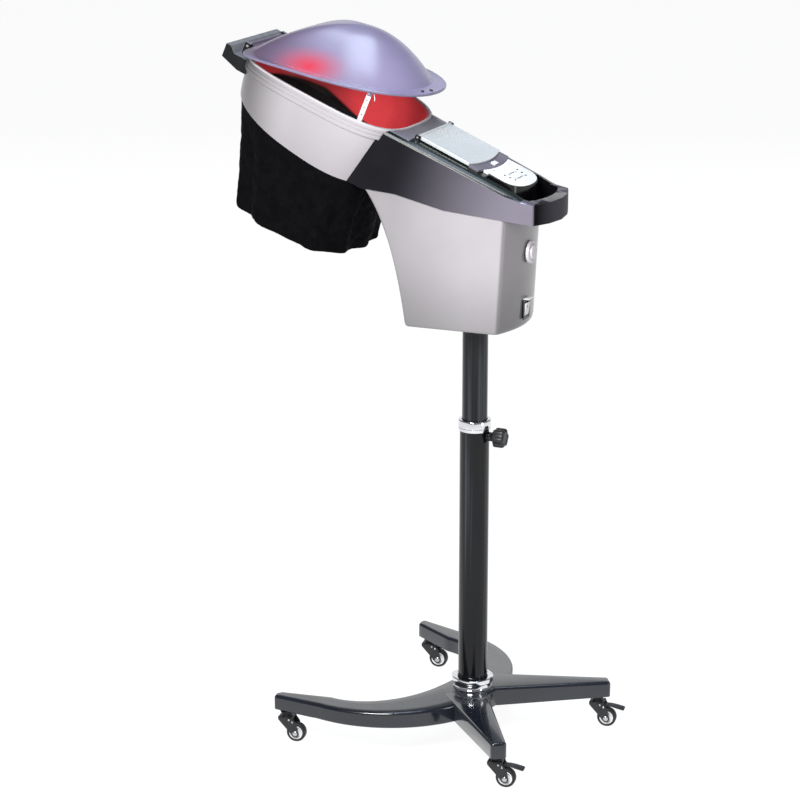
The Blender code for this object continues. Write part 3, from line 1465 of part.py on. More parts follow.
def build_housing(head, tilted, duct_way, finishes):
    shape = loft([housing_loop(y) for y in housing_layers()])
    housing = add_solid("upper_housing", shape, head, finishes["black"])
    cut(housing, add_helper("hood_seat", hood_envelope(SEAT_GAP), tilted))
    hollow = add_helper("housing_hollow", housing_hollow(), head)
    cut(hollow, add_helper("hood_wall_seat", hood_envelope(HOUSING_WALL), tilted))
    cut(housing, hollow)
    cut(housing, add_helper("trough", trough_shape(), head))
    cut(housing, duct_way)
    gap = RUNNING_GAP
    well = box(
        TANK_FRONT_U - gap,
        TANK_REAR_U + gap,
        -TANK_HALF_WIDTH - gap,
        TANK_HALF_WIDTH + gap,
        -CUT_MARGIN,
        CUT_MARGIN,
    )
    cut(housing, add_helper("tank_well", well, tilted))
    for side in (-1, 1):
        near = LID_HALF_WIDTH + RUNNING_GAP
        y_ends = sorted((side * near, side * (near + LID_EAR_LENGTH)))
        ear = box(
            LID_HINGE_U - LID_EAR_HALF_WIDTH,
            LID_HINGE_U + LID_EAR_HALF_WIDTH,
            *y_ends,
            -HOUSING_WALL / 2,
            LID_EAR_TOP_W,
        )
        join(housing, add_helper("lid_ear", ear, tilted))
    pin_length = 2 * (LID_HALF_WIDTH + RUNNING_GAP + LID_EAR_LENGTH)
    hinge_at = (LID_HINGE_U, 0, LID_HINGE_W)
    hole = rod(LID_PIN_RADIUS + SEAT_GAP, pin_length + CUT_MARGIN, PIN_SIDES)
    cut(housing, add_helper("lid_pin_hole", placed(hole, hinge_at, ALONG_Y), tilted))
    pin = placed(rod(LID_PIN_RADIUS, pin_length, PIN_SIDES), hinge_at, ALONG_Y)
    add_solid("lid_hinge_pin", pin, tilted, finishes["steel"])


def arched_strip(front_u, rear_u, front_arch, half_width):
    """A plan with a straight or arched front edge and an arched rear edge."""
    rear = []
    front = []
    for k in range(LID_ARCH_STEPS + 1):
        y = half_width * (2 * k / LID_ARCH_STEPS - 1)
        fall = LID_REAR_ARCH * (y / half_width) ** 2
        rear.append((rear_u - fall, y))
        front.append((front_u - front_arch * fall, y))
    return rear + front[::-1]


def build_lid(tilted, finishes):
    axis = add_empty("lid_axis", tilted, (LID_HINGE_U, 0, LID_HINGE_W))
    low = LID_LOW_W - LID_HINGE_W
    high = low + LID_THICKNESS
    rear = LID_REAR_U - LID_HINGE_U
    plan = arched_strip(0, rear, 0, LID_HALF_WIDTH)
    top_plan = arched_strip(0, rear - LID_EDGE, 0, LID_HALF_WIDTH - LID_EDGE)
    plate = loft(
        [
            [(x, y, low) for x, y in plan],
            [(x, y, high - LID_EDGE) for x, y in plan],
            [(x, y, high) for x, y in top_plan],
        ]
    )
    lid = add_solid("tank_lid", plate, axis, finishes["silver"])
    length = 2 * (LID_HALF_WIDTH - SEAT_GAP)
    barrel = placed(rod(LID_BARREL_RADIUS, length, BARREL_SIDES), (0, 0, 0), ALONG_Y)
    join(lid, add_helper("lid_barrel", barrel, axis))
    bore = rod(LID_PIN_RADIUS + SEAT_GAP, length + CUT_MARGIN, PIN_SIDES)
    bore = placed(bore, (0, 0, 0), ALONG_Y)
    cut(lid, add_helper("lid_bore", bore, axis))
    band_front = LID_REAR_U + 2 * RUNNING_GAP
    band_rear = band_front + BAND_WIDTH
    band_plan = arched_strip(band_front, band_rear, 1, LID_HALF_WIDTH)
    band_shape = prism(band_plan, SEAT_GAP, BAND_TOP_W)
    band = add_solid("latch_band", band_shape, tilted, finishes["grey"])
    latch_u = (band_front + band_rear) / 2
    half_u = LATCH_LENGTH / 2
    gap = RUNNING_GAP
    pocket = box(
        latch_u - half_u - gap,
        latch_u + half_u + gap,
        -LATCH_HALF_WIDTH - gap,
        LATCH_HALF_WIDTH + gap,
        -CUT_MARGIN,
        CUT_MARGIN,
    )
    cut(band, add_helper("latch_pocket", pocket, tilted))
    latch_axis = add_empty("latch_axis", tilted, (latch_u, 0, 0))
    latch = box(
        -half_u, half_u, -LATCH_HALF_WIDTH, LATCH_HALF_WIDTH, LATCH_LOW_W, LATCH_TOP_W
    )
    add_solid("lid_latch", latch, latch_axis, finishes["white"])


def pod_outline(inset):
    """The plan of the control pod: flat in front with a round rear end."""
    half = POD_HALF_WIDTH - inset
    reach = POD_REAR_X - POD_STRAIGHT_X - inset
    points = [(POD_FRONT_X + inset, half), (POD_FRONT_X + inset, -half)]
    for k in range(POD_ARC_STEPS + 1):
        angle = math.pi * (k / POD_ARC_STEPS - 0.5)
        points.append((POD_STRAIGHT_X + reach * math.cos(angle), half * math.sin(angle)))
    return points


def build_pod(head, finishes):
    def at_floor(inset):
        return [(x, y, trough_floor(x) + SEAT_GAP) for x, y in pod_outline(inset)]

    def at_plane(inset, w):
        return [(x, y, tilted_height(x, w)) for x, y in pod_outline(inset)]

    pod = loft(
        [
            at_plane(0, POD_TOP_W),
            at_floor(0),
            at_floor(POD_WALL),
            at_plane(POD_WALL, POD_TOP_W - POD_WALL),
        ]
    )
    add_solid("control_pod", pod, head, finishes["black"])
    panel_low = POD_TOP_W + SEAT_GAP
    panel = loft(
        [at_plane(PANEL_INSET, panel_low), at_plane(PANEL_INSET, panel_low + PANEL_THICKNESS)]
    )
    add_solid("control_panel", panel, head, finishes["white"])


def build_tank(tilted, finishes):
    def ring(outset, w):
        corners = (
            (TANK_FRONT_U - outset, -TANK_HALF_WIDTH - outset),
            (TANK_REAR_U + outset, -TANK_HALF_WIDTH - outset),
            (TANK_REAR_U + outset, TANK_HALF_WIDTH + outset),
            (TANK_FRONT_U - outset, TANK_HALF_WIDTH + outset),
        )
        return [(u, y, w) for u, y in corners]

    lip_low = SEAT_GAP
    lip_high = lip_low + TANK_LIP_THICKNESS
    tank = loft(
        [
            ring(0, -TANK_DEPTH),
            ring(0, lip_low),
            ring(TANK_LIP, lip_low),
            ring(TANK_LIP, lip_high),
            ring(-TANK_WALL, lip_high),
            ring(-TANK_WALL, TANK_WALL - TANK_DEPTH),
        ]
    )
    add_solid("water_tank", tank, tilted, finishes["white"])


def skirt_point(top, hem, angle, share, inset):
    """A point of the cloth between its upper edge and its hem."""
    fold = SKIRT_FOLD_DEPTH * math.cos(SKIRT_FOLDS * angle + math.sin(2 * angle))
    x = mix(top[0], hem[0], share)
    y = mix(top[1], hem[1], share)
    z = mix(top[2], hem[2], share)
    reach = (fold - inset) * share
    return (x + reach * math.cos(angle), y + reach * math.sin(angle), z)


def skirt_top(inset):
    """The cloth's upper edge, which seats under the hood's lower edge."""
    outline = rounded_outline(
        HOOD_LOW_FRONT + inset,
        HOOD_LOW_REAR - inset,
        HOOD_LOW_HALF_WIDTH - inset,
        HOOD_LOW_FRONT_SQUARENESS,
        HOOD_REAR_SQUARENESS,
        SKIRT_STEPS,
    )
    points = []
    for u, y in outline:
        x, z = from_tilted(u, lifted(u, -HOOD_DEPTH) - SEAT_GAP)
        points.append((x, y, z))
    return points


def build_skirt(head, finishes):
    hem_outline = rounded_outline(
        SKIRT_HEM_FRONT_X,
        SKIRT_HEM_REAR_X,
        SKIRT_HEM_HALF_WIDTH,
        SKIRT_HEM_SQUARENESS,
        SKIRT_HEM_SQUARENESS,
        SKIRT_STEPS,
    )
    centre_x = (SKIRT_HEM_FRONT_X + SKIRT_HEM_REAR_X) / 2
    half_x = (SKIRT_HEM_REAR_X - SKIRT_HEM_FRONT_X) / 2
    outer = []
    inner = []
    for row in range(SKIRT_ROWS + 1):
        share = row / SKIRT_ROWS
        for inset, loops in ((0, outer), (SKIRT_THICKNESS, inner)):
            top = skirt_top(SKIRT_INSET + inset)
            loop = []
            for k in range(SKIRT_STEPS):
                angle = 2 * math.pi * k / SKIRT_STEPS
                hem_x, hem_y = hem_outline[k]
                lift = SKIRT_REAR_LIFT * max((hem_x - centre_x) / half_x, 0) ** 3
                hem_z = SKIRT_HEM_Z - SKIRT_HEM_SLOPE * (hem_x - centre_x) + lift
                hem = (hem_x, hem_y, hem_z)
                loop.append(skirt_point(top[k], hem, angle, share, inset))
            loops.append(loop)
    cloth = loft(outer + inner[::-1], True)
    add_solid("skirt", cloth, head, finishes["cloth"], CLOTH_CREASE)


def centre_on_floor(root):
    """Moves the root so that the middle of the object's box stands over the origin."""
    bpy.context.view_layer.update()
    graph = bpy.context.evaluated_depsgraph_get()
    lows = Vector((math.inf, math.inf, math.inf))
    highs = -lows
    for item in bpy.context.scene.objects:
        if item.type != "MESH" or item.hide_render:
            continue
        shape = item.evaluated_get(graph)
        for vertex in shape.data.vertices:
            point = shape.matrix_world @ vertex.co
            lows = Vector(map(min, lows, point))
            highs = Vector(map(max, highs, point))
    root.location = (-(lows.x + highs.x) / 2, -(lows.y + highs.y) / 2, -lows.z)
    bpy.context.view_layer.update()


def main():
    clear_scene()
    finishes = build_finishes()
    root = add_empty("hair_steamer_frame", None)
    build_stand(root, finishes)
    lift = build_mast(root, finishes)
    head = add_empty("head_swivel", lift)
    tilted = add_empty(
        "hood_plane", head, (HOOD_ORIGIN_X, 0, HOOD_ORIGIN_Z), (0, HEAD_TILT, 0)
    )
    build_body(head, finishes)
    duct_way = build_hood(tilted, finishes)
    build_bracket(tilted, finishes)
    build_visor(tilted, finishes)
    build_housing(head, tilted, duct_way, finishes)
    build_lid(tilted, finishes)
    build_pod(head, finishes)
    build_tank(tilted, finishes)
    build_skirt(head, finishes)
    centre_on_floor(root)


main()
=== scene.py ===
"""Looks of a hair steamer on a wheeled stand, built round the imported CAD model."""

import json
import math

import bmesh
import bpy
from mathutils import Matrix, Vector, noise
from mathutils.bvhtree import BVHTree


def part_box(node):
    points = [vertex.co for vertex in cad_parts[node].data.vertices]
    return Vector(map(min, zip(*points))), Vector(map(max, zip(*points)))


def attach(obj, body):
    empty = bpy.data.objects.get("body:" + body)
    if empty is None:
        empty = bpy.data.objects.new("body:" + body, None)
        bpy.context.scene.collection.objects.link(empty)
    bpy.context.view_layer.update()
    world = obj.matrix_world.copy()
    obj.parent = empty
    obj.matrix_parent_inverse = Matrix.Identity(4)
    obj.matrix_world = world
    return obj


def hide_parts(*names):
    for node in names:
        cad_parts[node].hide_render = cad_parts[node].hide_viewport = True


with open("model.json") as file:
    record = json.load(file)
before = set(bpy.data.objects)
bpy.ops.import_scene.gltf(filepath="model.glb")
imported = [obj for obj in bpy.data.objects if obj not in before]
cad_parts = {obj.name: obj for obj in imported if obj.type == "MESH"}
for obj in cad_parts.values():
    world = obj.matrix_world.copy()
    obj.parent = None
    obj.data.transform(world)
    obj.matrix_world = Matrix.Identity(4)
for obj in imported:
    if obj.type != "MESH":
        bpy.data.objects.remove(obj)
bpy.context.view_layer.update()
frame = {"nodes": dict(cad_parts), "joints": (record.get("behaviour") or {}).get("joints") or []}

JOINTS = {joint["name"]: joint for joint in frame["joints"]}
MAST_X, MAST_Y = JOINTS["head_swivel"]["pos_m"][:2]

# The head: its hood and deck lie in one plane that tips down to the rear.
HEAD_TILT = math.radians(23)
HOOD_X = MAST_X - 0.195
HOOD_Z = 1.2646
HOOD_FRONT, HOOD_REAR, HOOD_HALF = -0.265, 0.075, 0.145
HOOD_LOW_FRONT, HOOD_LOW_REAR, HOOD_LOW_HALF = -0.276, 0.055, 0.139
HOOD_FRONT_POWER, HOOD_LOW_FRONT_POWER, HOOD_REAR_POWER = 4.0, 2.3, 3.3
HOOD_DEPTH = 0.128
HOOD_RISE = 0.044
RIM_HEIGHT = 0.026
HOOD_STEPS = 144

# The visor stands open by this angle on its front hinge.
VISOR_OPEN = math.radians(11.4)
VISOR_HINGE_U = -0.2763
FLANGE = (-0.264, 0.099, 0.156)
DOME_BASE = (-0.258, 0.071, 0.136)
DOME_HEIGHT = 0.083
DOME_APEX_U = -0.075
FLANGE_POWERS, DOME_POWERS = (8.0, 2.2), (6.0, 2.3)
DOME_ROUNDNESS, DOME_CROWN = 1.95, 0.97

# Where the deck's front part ends, measured rearward in the hood's plane.
DECK_FRONT_END = 0.106

# The body and the black housing narrow towards the rear.
SEAM = ((-0.192, 1.125), (-0.125, 1.119), (-0.026, 1.095), (0.190, 1.075))
SEAM_GAP = 0.0004
BODY_LOW = 0.861
BODY_HALF = 0.102
BODY_EDGE = 0.008
BODY_HEIGHT = 0.225
BODY_REAR_LOW, BODY_REAR_HIGH, BODY_REAR_BULGE = 0.083, 0.095, 0.018
BODY_NOSE = ((-0.190, 1.125), (-0.132, 1.0485), (-0.106, BODY_LOW))
FRONT_SPREAD, REAR_SPREAD, SPREAD_REAR_X = 1.05, 0.87, 0.151

# The stand's legs fall away from the hub.
STAND_YAW = math.radians(-11.3)
LEG_LOW = 0.064
LEG_TOP = 0.102
LEG_FALL, LEG_FALL_START, LEG_FALL_LENGTH = 0.008, 0.060, 0.150
LEG_EDGE = 0.006
CRESCENT_X, CRESCENT_OUTER = -0.202, 0.250
CRESCENT_INNER_X, CRESCENT_INNER_Y = 0.148, 0.200
CRESCENT_TIP_X, CRESCENT_TIP_OUT, CRESCENT_TIP_IN = -0.303, 0.262, 0.236
CASTER_HEADING = math.radians(9.7)
WHEEL_RADIUS = 0.0195
CASTER_TRAIL = 0.020
CROWN_HALF, CROWN_TOP = 0.0150, 0.0535


def mix(a, b, share):
    return a + (b - a) * share


def signed_power(value, power):
    return math.copysign(abs(value) ** power, value)


def in_head(u, y, w):
    """A point of the tilted hood plane: u to the rear, w up from it."""
    x = HOOD_X + u * math.cos(HEAD_TILT) + w * math.sin(HEAD_TILT)
    return Vector((x, MAST_Y + y, HOOD_Z - u * math.sin(HEAD_TILT) + w * math.cos(HEAD_TILT)))


HEAD_ORIGIN = in_head(0, 0, 0)
REARWARD = Vector((math.cos(HEAD_TILT), 0, -math.sin(HEAD_TILT)))
UPWARD = Vector((math.sin(HEAD_TILT), 0, math.cos(HEAD_TILT)))


def in_visor(u, y, height):
    """A point of the visor's own plane, from its hinge."""
    hinge = Vector(JOINTS["visor_hinge"]["pos_m"])
    pitch = HEAD_TILT - VISOR_OPEN
    x = u - VISOR_HINGE_U
    along = Vector((math.cos(pitch), 0, -math.sin(pitch)))
    up = Vector((math.sin(pitch), 0, math.cos(pitch)))
    return hinge + along * x + up * height + Vector((0, y, 0))


def in_stand(x, y, z):
    """A point in the stand's own axes, which are turned from the head's."""
    turned = Matrix.Rotation(STAND_YAW, 3, "Z") @ Vector((x, y, z))
    return turned + Vector((MAST_X, MAST_Y, 0))


def on_mast(x, y, z):
    """A point measured from the mast's axis."""
    return Vector((MAST_X + x, MAST_Y + y, z))


def outline(front, rear, half, front_power, rear_power, steps):
    """A closed rounded plan that is squarer where its power is higher."""
    points = []
    for k in range(steps):
        angle = 2 * math.pi * k / steps
        along, across = math.cos(angle), math.sin(angle)
        power = 2 / (rear_power if along >= 0 else front_power)
        u = (front + rear) / 2 + (rear - front) / 2 * signed_power(along, power)
        points.append((u, half * signed_power(across, power)))
    return points


# Quarter turns that lay an upright shape along Y or X.
TURN_TO_Y = Matrix.Rotation(math.radians(90), 4, "X")
TURN_TO_X = Matrix.Rotation(math.radians(90), 4, "Y")


# Mesh tools


def first_loop(shape, points, closed=True):
    """The chain of edges that a skin grows from."""
    verts = [shape.verts.new(point) for point in points]
    pairs = list(zip(verts, verts[1:])) + ([(verts[-1], verts[0])] if closed else [])
    return verts, [shape.edges.new(pair) for pair in pairs]


def grow(shape, verts, edges, points):
    """Extrudes a loop and sets the new loop on these points."""
    made = bmesh.ops.extrude_edge_only(shape, edges=edges)["geom"]
    fresh = {item for item in made if isinstance(item, bmesh.types.BMVert)}
    new_verts = []
    for old, point in zip(verts, points):
        new = next(e.other_vert(old) for e in old.link_edges if e.other_vert(old) in fresh)
        new.co = point
        new_verts.append(new)
    new_edges = [
        item
        for item in made
        if isinstance(item, bmesh.types.BMEdge) and all(v in fresh for v in item.verts)
    ]
    return new_verts, new_edges


def skin(loops, closed=True, low_cap=False, high_cap=False):
    """Loops with a skin from each to the next, and caps where asked."""
    shape = bmesh.new()
    verts, edges = first_loop(shape, loops[0], closed)
    first = verts
    for points in loops[1:]:
        verts, edges = grow(shape, verts, edges, points)
    if low_cap:
        shape.faces.new(first)
    if high_cap:
        shape.faces.new(verts)
    return shape


def tube(loops):
    """Loops skinned round and back to the first, as the two faces of a wall are."""
    shape = skin(loops + [loops[0]])
    bmesh.ops.remove_doubles(shape, verts=shape.verts, dist=1e-6)
    return shape


def both_ways(half):
    """A lathe profile that is the same on either side of its middle."""
    return [*half, *((radius, -height) for radius, height in reversed(half))]


def lathe(profile, place=Matrix(), steps=72, closed=False):
    """A profile of (radius, height) pairs turned about Z, then set in place."""
    shape = bmesh.new()
    verts, edges = first_loop(shape, [(r, 0, h) for r, h in profile], closed)
    bmesh.ops.spin(
        shape,
        geom=verts + edges,
        cent=(0, 0, 0),
        axis=(0, 0, 1),
        angle=2 * math.pi,
        steps=steps,
        use_merge=True,
    )
    bmesh.ops.remove_doubles(shape, verts=shape.verts, dist=1e-6)
    shape.transform(place)
    return shape


def round_off(shape, width, segments=3, angle=30):
    """Bevels the edges that turn by more than an angle."""
    shape.normal_update()
    sharp = [e for e in shape.edges if e.is_manifold and e.calc_face_angle(0) > math.radians(angle)]
    bmesh.ops.bevel(
        shape,
        geom=sharp,
        offset=width,
        segments=segments,
        profile=0.5,
        affect="EDGES",
        material=-1,
        clamp_overlap=True,
    )
    return shape


def plate(points, low, high, edge, segments=3):
    """A flat plate of an (x, y) plan with rounded edges."""
    shape = bmesh.new()
    face = shape.faces.new([shape.verts.new((x, y, low)) for x, y in points])
    made = bmesh.ops.extrude_face_region(shape, geom=[face])["geom"]
    top = [item for item in made if isinstance(item, bmesh.types.BMVert)]
    bmesh.ops.translate(shape, verts=top, vec=(0, 0, high - low))
    bmesh.ops.recalc_face_normals(shape, faces=shape.faces)
    return round_off(shape, edge, segments) if edge else shape


def block(x0, x1, y0, y1, z0, z1, edge, segments=2):
    return plate(((x0, y0), (x1, y0), (x1, y1), (x0, y1)), z0, z1, edge, segments)


def joined(shapes):
    """One shape made of several."""
    whole = bmesh.new()
    for shape in shapes:
        mesh = bpy.data.meshes.new("part_of_piece")
        shape.to_mesh(mesh)
        shape.free()
        whole.from_mesh(mesh)
        bpy.data.meshes.remove(mesh)
    return whole


def placed(shape, matrix):
    shape.transform(matrix)
    return shape


def cad_copy(name):
    """A merged copy of a CAD node with its flat faces whole again."""
    shape = bmesh.new()
    shape.from_mesh(frame["nodes"][name].data)
    for face in shape.faces:
        face.material_index = 0
    bmesh.ops.remove_doubles(shape, verts=shape.verts, dist=4e-6)
    bmesh.ops.dissolve_limit(
        shape,
        angle_limit=math.radians(0.6),
        use_dissolve_boundaries=False,
        verts=shape.verts,
        edges=shape.edges,
    )
    return shape


def put(name, shape, body, finish, nodes=(), crease=34, also=()):
    """Turns a shape into a piece of the scene; also holds other finishes and the faces they cover."""
    bmesh.ops.recalc_face_normals(shape, faces=shape.faces)
    shape.normal_update()
    for index, (_, covers) in enumerate(also):
        for face in shape.faces:
            if covers(face):
                face.material_index = index + 1
    mesh = bpy.data.meshes.new(name)
    shape.to_mesh(mesh)
    shape.free()
    mesh.shade_smooth()
    mesh.set_sharp_from_angle(angle=math.radians(crease))
    for coat in (finish, *(other for other, _ in also)):
        mesh.materials.append(coat)
    piece = bpy.data.objects.new(name, mesh)
    bpy.context.scene.collection.objects.link(piece)
    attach(piece, body)
    if nodes:
        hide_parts(*nodes)
    return piece


def soften(piece, width, segments=2, angle=35):
    """Rounds a piece's sharp edges, as a mould leaves them."""
    bevel = piece.modifiers.new("moulded_edges", "BEVEL")
    bevel.width = width
    bevel.segments = segments
    bevel.limit_method = "ANGLE"
    bevel.angle_limit = math.radians(angle)
    bevel.use_clamp_overlap = True
    bevel.harden_normals = True
    return piece


def dress_copy(node, name, body, finish, edge, crease=34, also=(), segments=2):
    """A copy of a CAD node as a piece with rounded edges."""
    piece = put(name, cad_copy(node), body, finish, [node], crease, also)
    return soften(piece, edge, segments)


# Materials


def linear(code):
    """A hex colour in linear light."""
    channels = [int(code[k : k + 2], 16) / 255 for k in (1, 3, 5)]
    turned = [c / 12.92 if c <= 0.04045 else ((c + 0.055) / 1.055) ** 2.4 for c in channels]
    return (*turned, 1.0)


def add(tree, kind, values=None, links=None, **settings):
    """A node with its settings, socket values and links."""
    fresh = tree.nodes.new(kind)
    for key, value in settings.items():
        setattr(fresh, key, value)
    for key, value in (values or {}).items():
        fresh.inputs[key].default_value = value
    for key, source in (links or {}).items():
        tree.links.new(source, fresh.inputs[key])
    return fresh


def span(low, high, start=0.0, end=1.0):
    """Settings of a range that goes from start at low to end at high."""
    return {"From Min": low, "From Max": high, "To Min": start, "To Max": end}


SMOOTH = {"interpolation_type": "SMOOTHSTEP"}


def surface(name, tones, patch_mm, roughness, grain_mm, relief_mm, **sockets):
    """A finish with patches of two close tones, uneven gloss and a fine grain."""
    material = bpy.data.materials.new(name)
    material.use_nodes = True
    tree = material.node_tree
    shader = tree.nodes["Principled BSDF"]
    for key, value in sockets.items():
        shader.inputs[key.replace("_", " ")].default_value = value
    place = add(tree, "ShaderNodeTexCoord").outputs["Object"]
    patch = add(tree, "ShaderNodeTexNoise", {"Scale": 1000 / patch_mm, "Detail": 4}, {"Vector": place})
    tint = add(tree, "ShaderNodeValToRGB", links={"Fac": patch.outputs["Fac"]})
    for element, position, tone in zip(tint.color_ramp.elements, (0.32, 0.68), tones):
        element.position = position
        element.color = linear(tone)
    smear = add(tree, "ShaderNodeTexNoise", {"Scale": 2600 / patch_mm, "Detail": 5}, {"Vector": place})
    gloss = add(tree, "ShaderNodeMapRange", span(0.3, 0.7, *roughness), {"Value": smear.outputs["Fac"]})
    grain = add(tree, "ShaderNodeTexNoise", {"Scale": 1000 / grain_mm, "Detail": 2}, {"Vector": place})
    depth = {"Strength": 0.6, "Distance": relief_mm / 1000}
    bump = add(tree, "ShaderNodeBump", depth, {"Height": grain.outputs["Fac"]})
    tree.links.new(tint.outputs["Color"], shader.inputs["Base Color"])
    tree.links.new(gloss.outputs["Result"], shader.inputs["Roughness"])
    tree.links.new(bump.outputs["Normal"], shader.inputs["Normal"])
    return material


def measure(tree, place, direction, origin):
    """How far a point lies from an origin along a direction, in metres."""
    away = add(tree, "ShaderNodeVectorMath", {1: origin}, {0: place}, operation="SUBTRACT")
    links = {0: away.outputs[0]}
    along = add(tree, "ShaderNodeVectorMath", {1: direction}, links, operation="DOT_PRODUCT")
    return along.outputs["Value"]


def grade(tree, place, direction, origin, values, **settings):
    """A level that changes along a direction."""
    far = measure(tree, place, direction, origin)
    return add(tree, "ShaderNodeMapRange", values, {"Value": far}, **settings).outputs[0]


def open_up(material):
    """A finish's nodes, its shader and Object coordinates."""
    tree = material.node_tree
    place = add(tree, "ShaderNodeTexCoord").outputs["Object"]
    return tree, tree.nodes["Principled BSDF"], place


def tone_coat(tree, shader, *levels):
    """Multiplies the colour so far by levels that change over the surface."""
    for level in levels:
        coat = shader.inputs["Base Color"].links[0].from_socket
        toned = add(tree, "ShaderNodeVectorMath", links={0: coat, "Scale": level}, operation="SCALE")
        tree.links.new(toned.outputs[0], shader.inputs["Base Color"])


def blend_coat(tree, shader, share, tone):
    """Mixes a tone into the colour so far by a share that changes over the surface."""
    coat = shader.inputs["Base Color"].links[0].from_socket
    mixed = add(tree, "ShaderNodeMix", {7: linear(tone)}, {0: share, 6: coat}, data_type="RGBA")
    tree.links.new(mixed.outputs[2], shader.inputs["Base Color"])


def paint_glow(tree, shader, share, tone, strength):
    """Paints a glow: the surface emits a tone by a share that changes over it, though it is no lamp."""
    ends = {6: linear("#000000"), 7: linear(tone)}
    shine = add(tree, "ShaderNodeMix", ends, {0: share}, data_type="RGBA")
    tree.links.new(shine.outputs[2], shader.inputs["Emission Color"])
    shader.inputs["Emission Strength"].default_value = strength


# ABS moulded, silver lacquer: pale warm grey with a fine flake and a clear coat's soft gloss.
silver_lacquer = surface(
    "silver_lacquered_abs", ("#A6A2A6", "#AEAAAE"), 160, (0.30, 0.40), 0.9, 0.010,
    Metallic=0.30, Coat_Weight=0.35, Coat_Roughness=0.12,
)
# The same lacquer, lighter on the lid; its fine slanting ribs carry painted light and shade.
lid_lacquer = surface(
    "ribbed_lid_lacquer", ("#B8BCBE", "#C2C5C6"), 420, (0.26, 0.36), 0.9, 0.002,
    Metallic=0.20, Coat_Weight=0.3, Coat_Roughness=0.15,
)
# ABS moulded, pearl black lacquer: dark grey with a metal sheen, lighter to the rear.
pearl_black = surface(
    "pearl_black_abs", ("#1C1C20", "#232227"), 140, (0.30, 0.40), 0.8, 0.008,
    Metallic=0.80, Coat_Weight=0.05, Coat_Roughness=0.15, Specular_Tint=linear("#5A5A5E"),
)
# ABS moulded, polished black: mirror-like under the rails and round the pod.
gloss_black = surface(
    "polished_black_abs", ("#08080A", "#0E0E11"), 60, (0.10, 0.18), 0.8, 0.004,
    Coat_Weight=0.12, Coat_Roughness=0.05, Specular_IOR_Level=0.3,
)
# Smoke green rail of clear-coated ABS along the deck.
rail_green = surface(
    "smoke_green_rail_abs", ("#0E1413", "#161E1C"), 60, (0.24, 0.32), 0.8, 0.004,
    Coat_Weight=0.05, Coat_Roughness=0.25, Specular_IOR_Level=0.25,
)
# Polypropylene moulded with a spark-eroded grain: soft charcoal sheen.
charcoal = surface("grained_charcoal_pp", ("#121315", "#1A1B1E"), 40, (0.36, 0.50), 0.7, 0.040)
# The front bracket's textured nylon: near black and soft.
bracket_nylon = surface(
    "textured_grey_nylon", ("#08090A", "#0E0F10"), 50, (0.40, 0.54), 0.8, 0.050,
    Specular_IOR_Level=0.22,
)
# Satin grey ABS of the latch band.
grey_abs = surface("satin_grey_abs", ("#514D58", "#5E5A65"), 45, (0.30, 0.42), 0.7, 0.020)
# Pale grey ABS of the rear filler cap, close to the body's silver.
cap_grey = surface(
    "pale_grey_abs", ("#BDB9BD", "#C8C5C8"), 45, (0.28, 0.40), 0.7, 0.020, Metallic=0.1,
)
# White ABS: clean, faintly uneven from the mould.
white_abs = surface(
    "white_abs", ("#C6C6C8", "#D4D4D5"), 35, (0.26, 0.38), 0.6, 0.012, Subsurface_Weight=0.05
)
# The membrane overlay: white polyester film with a faint orange-peel texture.
overlay_film = surface("white_overlay_film", ("#CFCFCD", "#D8D8D6"), 60, (0.24, 0.32), 0.9, 0.002)
# Screen-print ink on the overlay: matt, near black.
print_ink = surface("slate_print_ink", ("#0C0D10", "#16171B"), 6, (0.5, 0.65), 0.4, 0.010)
# Red print in the rocker's lit end.
red_ink = surface("red_print_ink", ("#B4232C", "#CF3038"), 5, (0.35, 0.5), 0.4, 0.010)
# Chromed steel: near-white mirror, with slight polishing haze.
chrome = surface(
    "chromed_steel", ("#D6D7DA", "#E6E7E9"), 30, (0.04, 0.10), 2.0, 0.003, Metallic=1.0,
)
# Zinc-plated steel of pins, rivets and axle bolts: bright but a little clouded.
zinc_steel = surface(
    "zinc_plated_steel", ("#AEAFB1", "#C9CACB"), 9, (0.20, 0.34), 1.2, 0.010, Metallic=1.0,
)
# Stainless sheet of the boiler, drawn and lightly brushed.
drawn_steel = surface(
    "drawn_stainless", ("#9C9DA0", "#B9BABC"), 20, (0.24, 0.40), 1.5, 0.020, Metallic=1.0,
)
# Powder-coated steel tube: near-black, glossy, with a soft orange peel.
mast_coat = surface(
    "gloss_black_powder_coat", ("#08090B", "#0E0F12"), 150, (0.12, 0.20), 2.6, 0.014,
    Coat_Weight=0.0, Specular_IOR_Level=0.28,
)
# Cast legs under charcoal-blue enamel: smooth, with long highlights on the rounded edges.
leg_enamel = surface(
    "charcoal_blue_enamel", ("#0D1017", "#151A25"), 160, (0.18, 0.28), 2.8, 0.014,
    Metallic=0.15, Coat_Weight=0.7, Coat_Roughness=0.07,
)
# Pressed caster forks in black e-coat: thin film, satin.
fork_coat = surface("black_e_coat", ("#141517", "#1F2023"), 18, (0.30, 0.42), 1.0, 0.010)
# Thermoplastic rubber tread: matt black, dusty in patches.
tread_rubber = surface("black_tread_rubber", ("#0F0F10", "#1D1D1E"), 12, (0.50, 0.68), 0.6, 0.030)
# Nylon wheel centre, off-white.
wheel_nylon = surface("white_wheel_nylon", ("#D9DADB", "#EDEDED"), 10, (0.28, 0.42), 0.8, 0.015)
# Brake pedals in dark grey glass-filled nylon.
pedal_nylon = surface("dark_grey_pedal_nylon", ("#1C1D20", "#2A2B2F"), 14, (0.40, 0.55), 0.7, 0.040)
# Black flock inside the hood below the liner: swallows light.
dark_flock = surface("black_flock", ("#050506", "#0B0A0B"), 20, (0.8, 0.95), 0.6, 0.05)
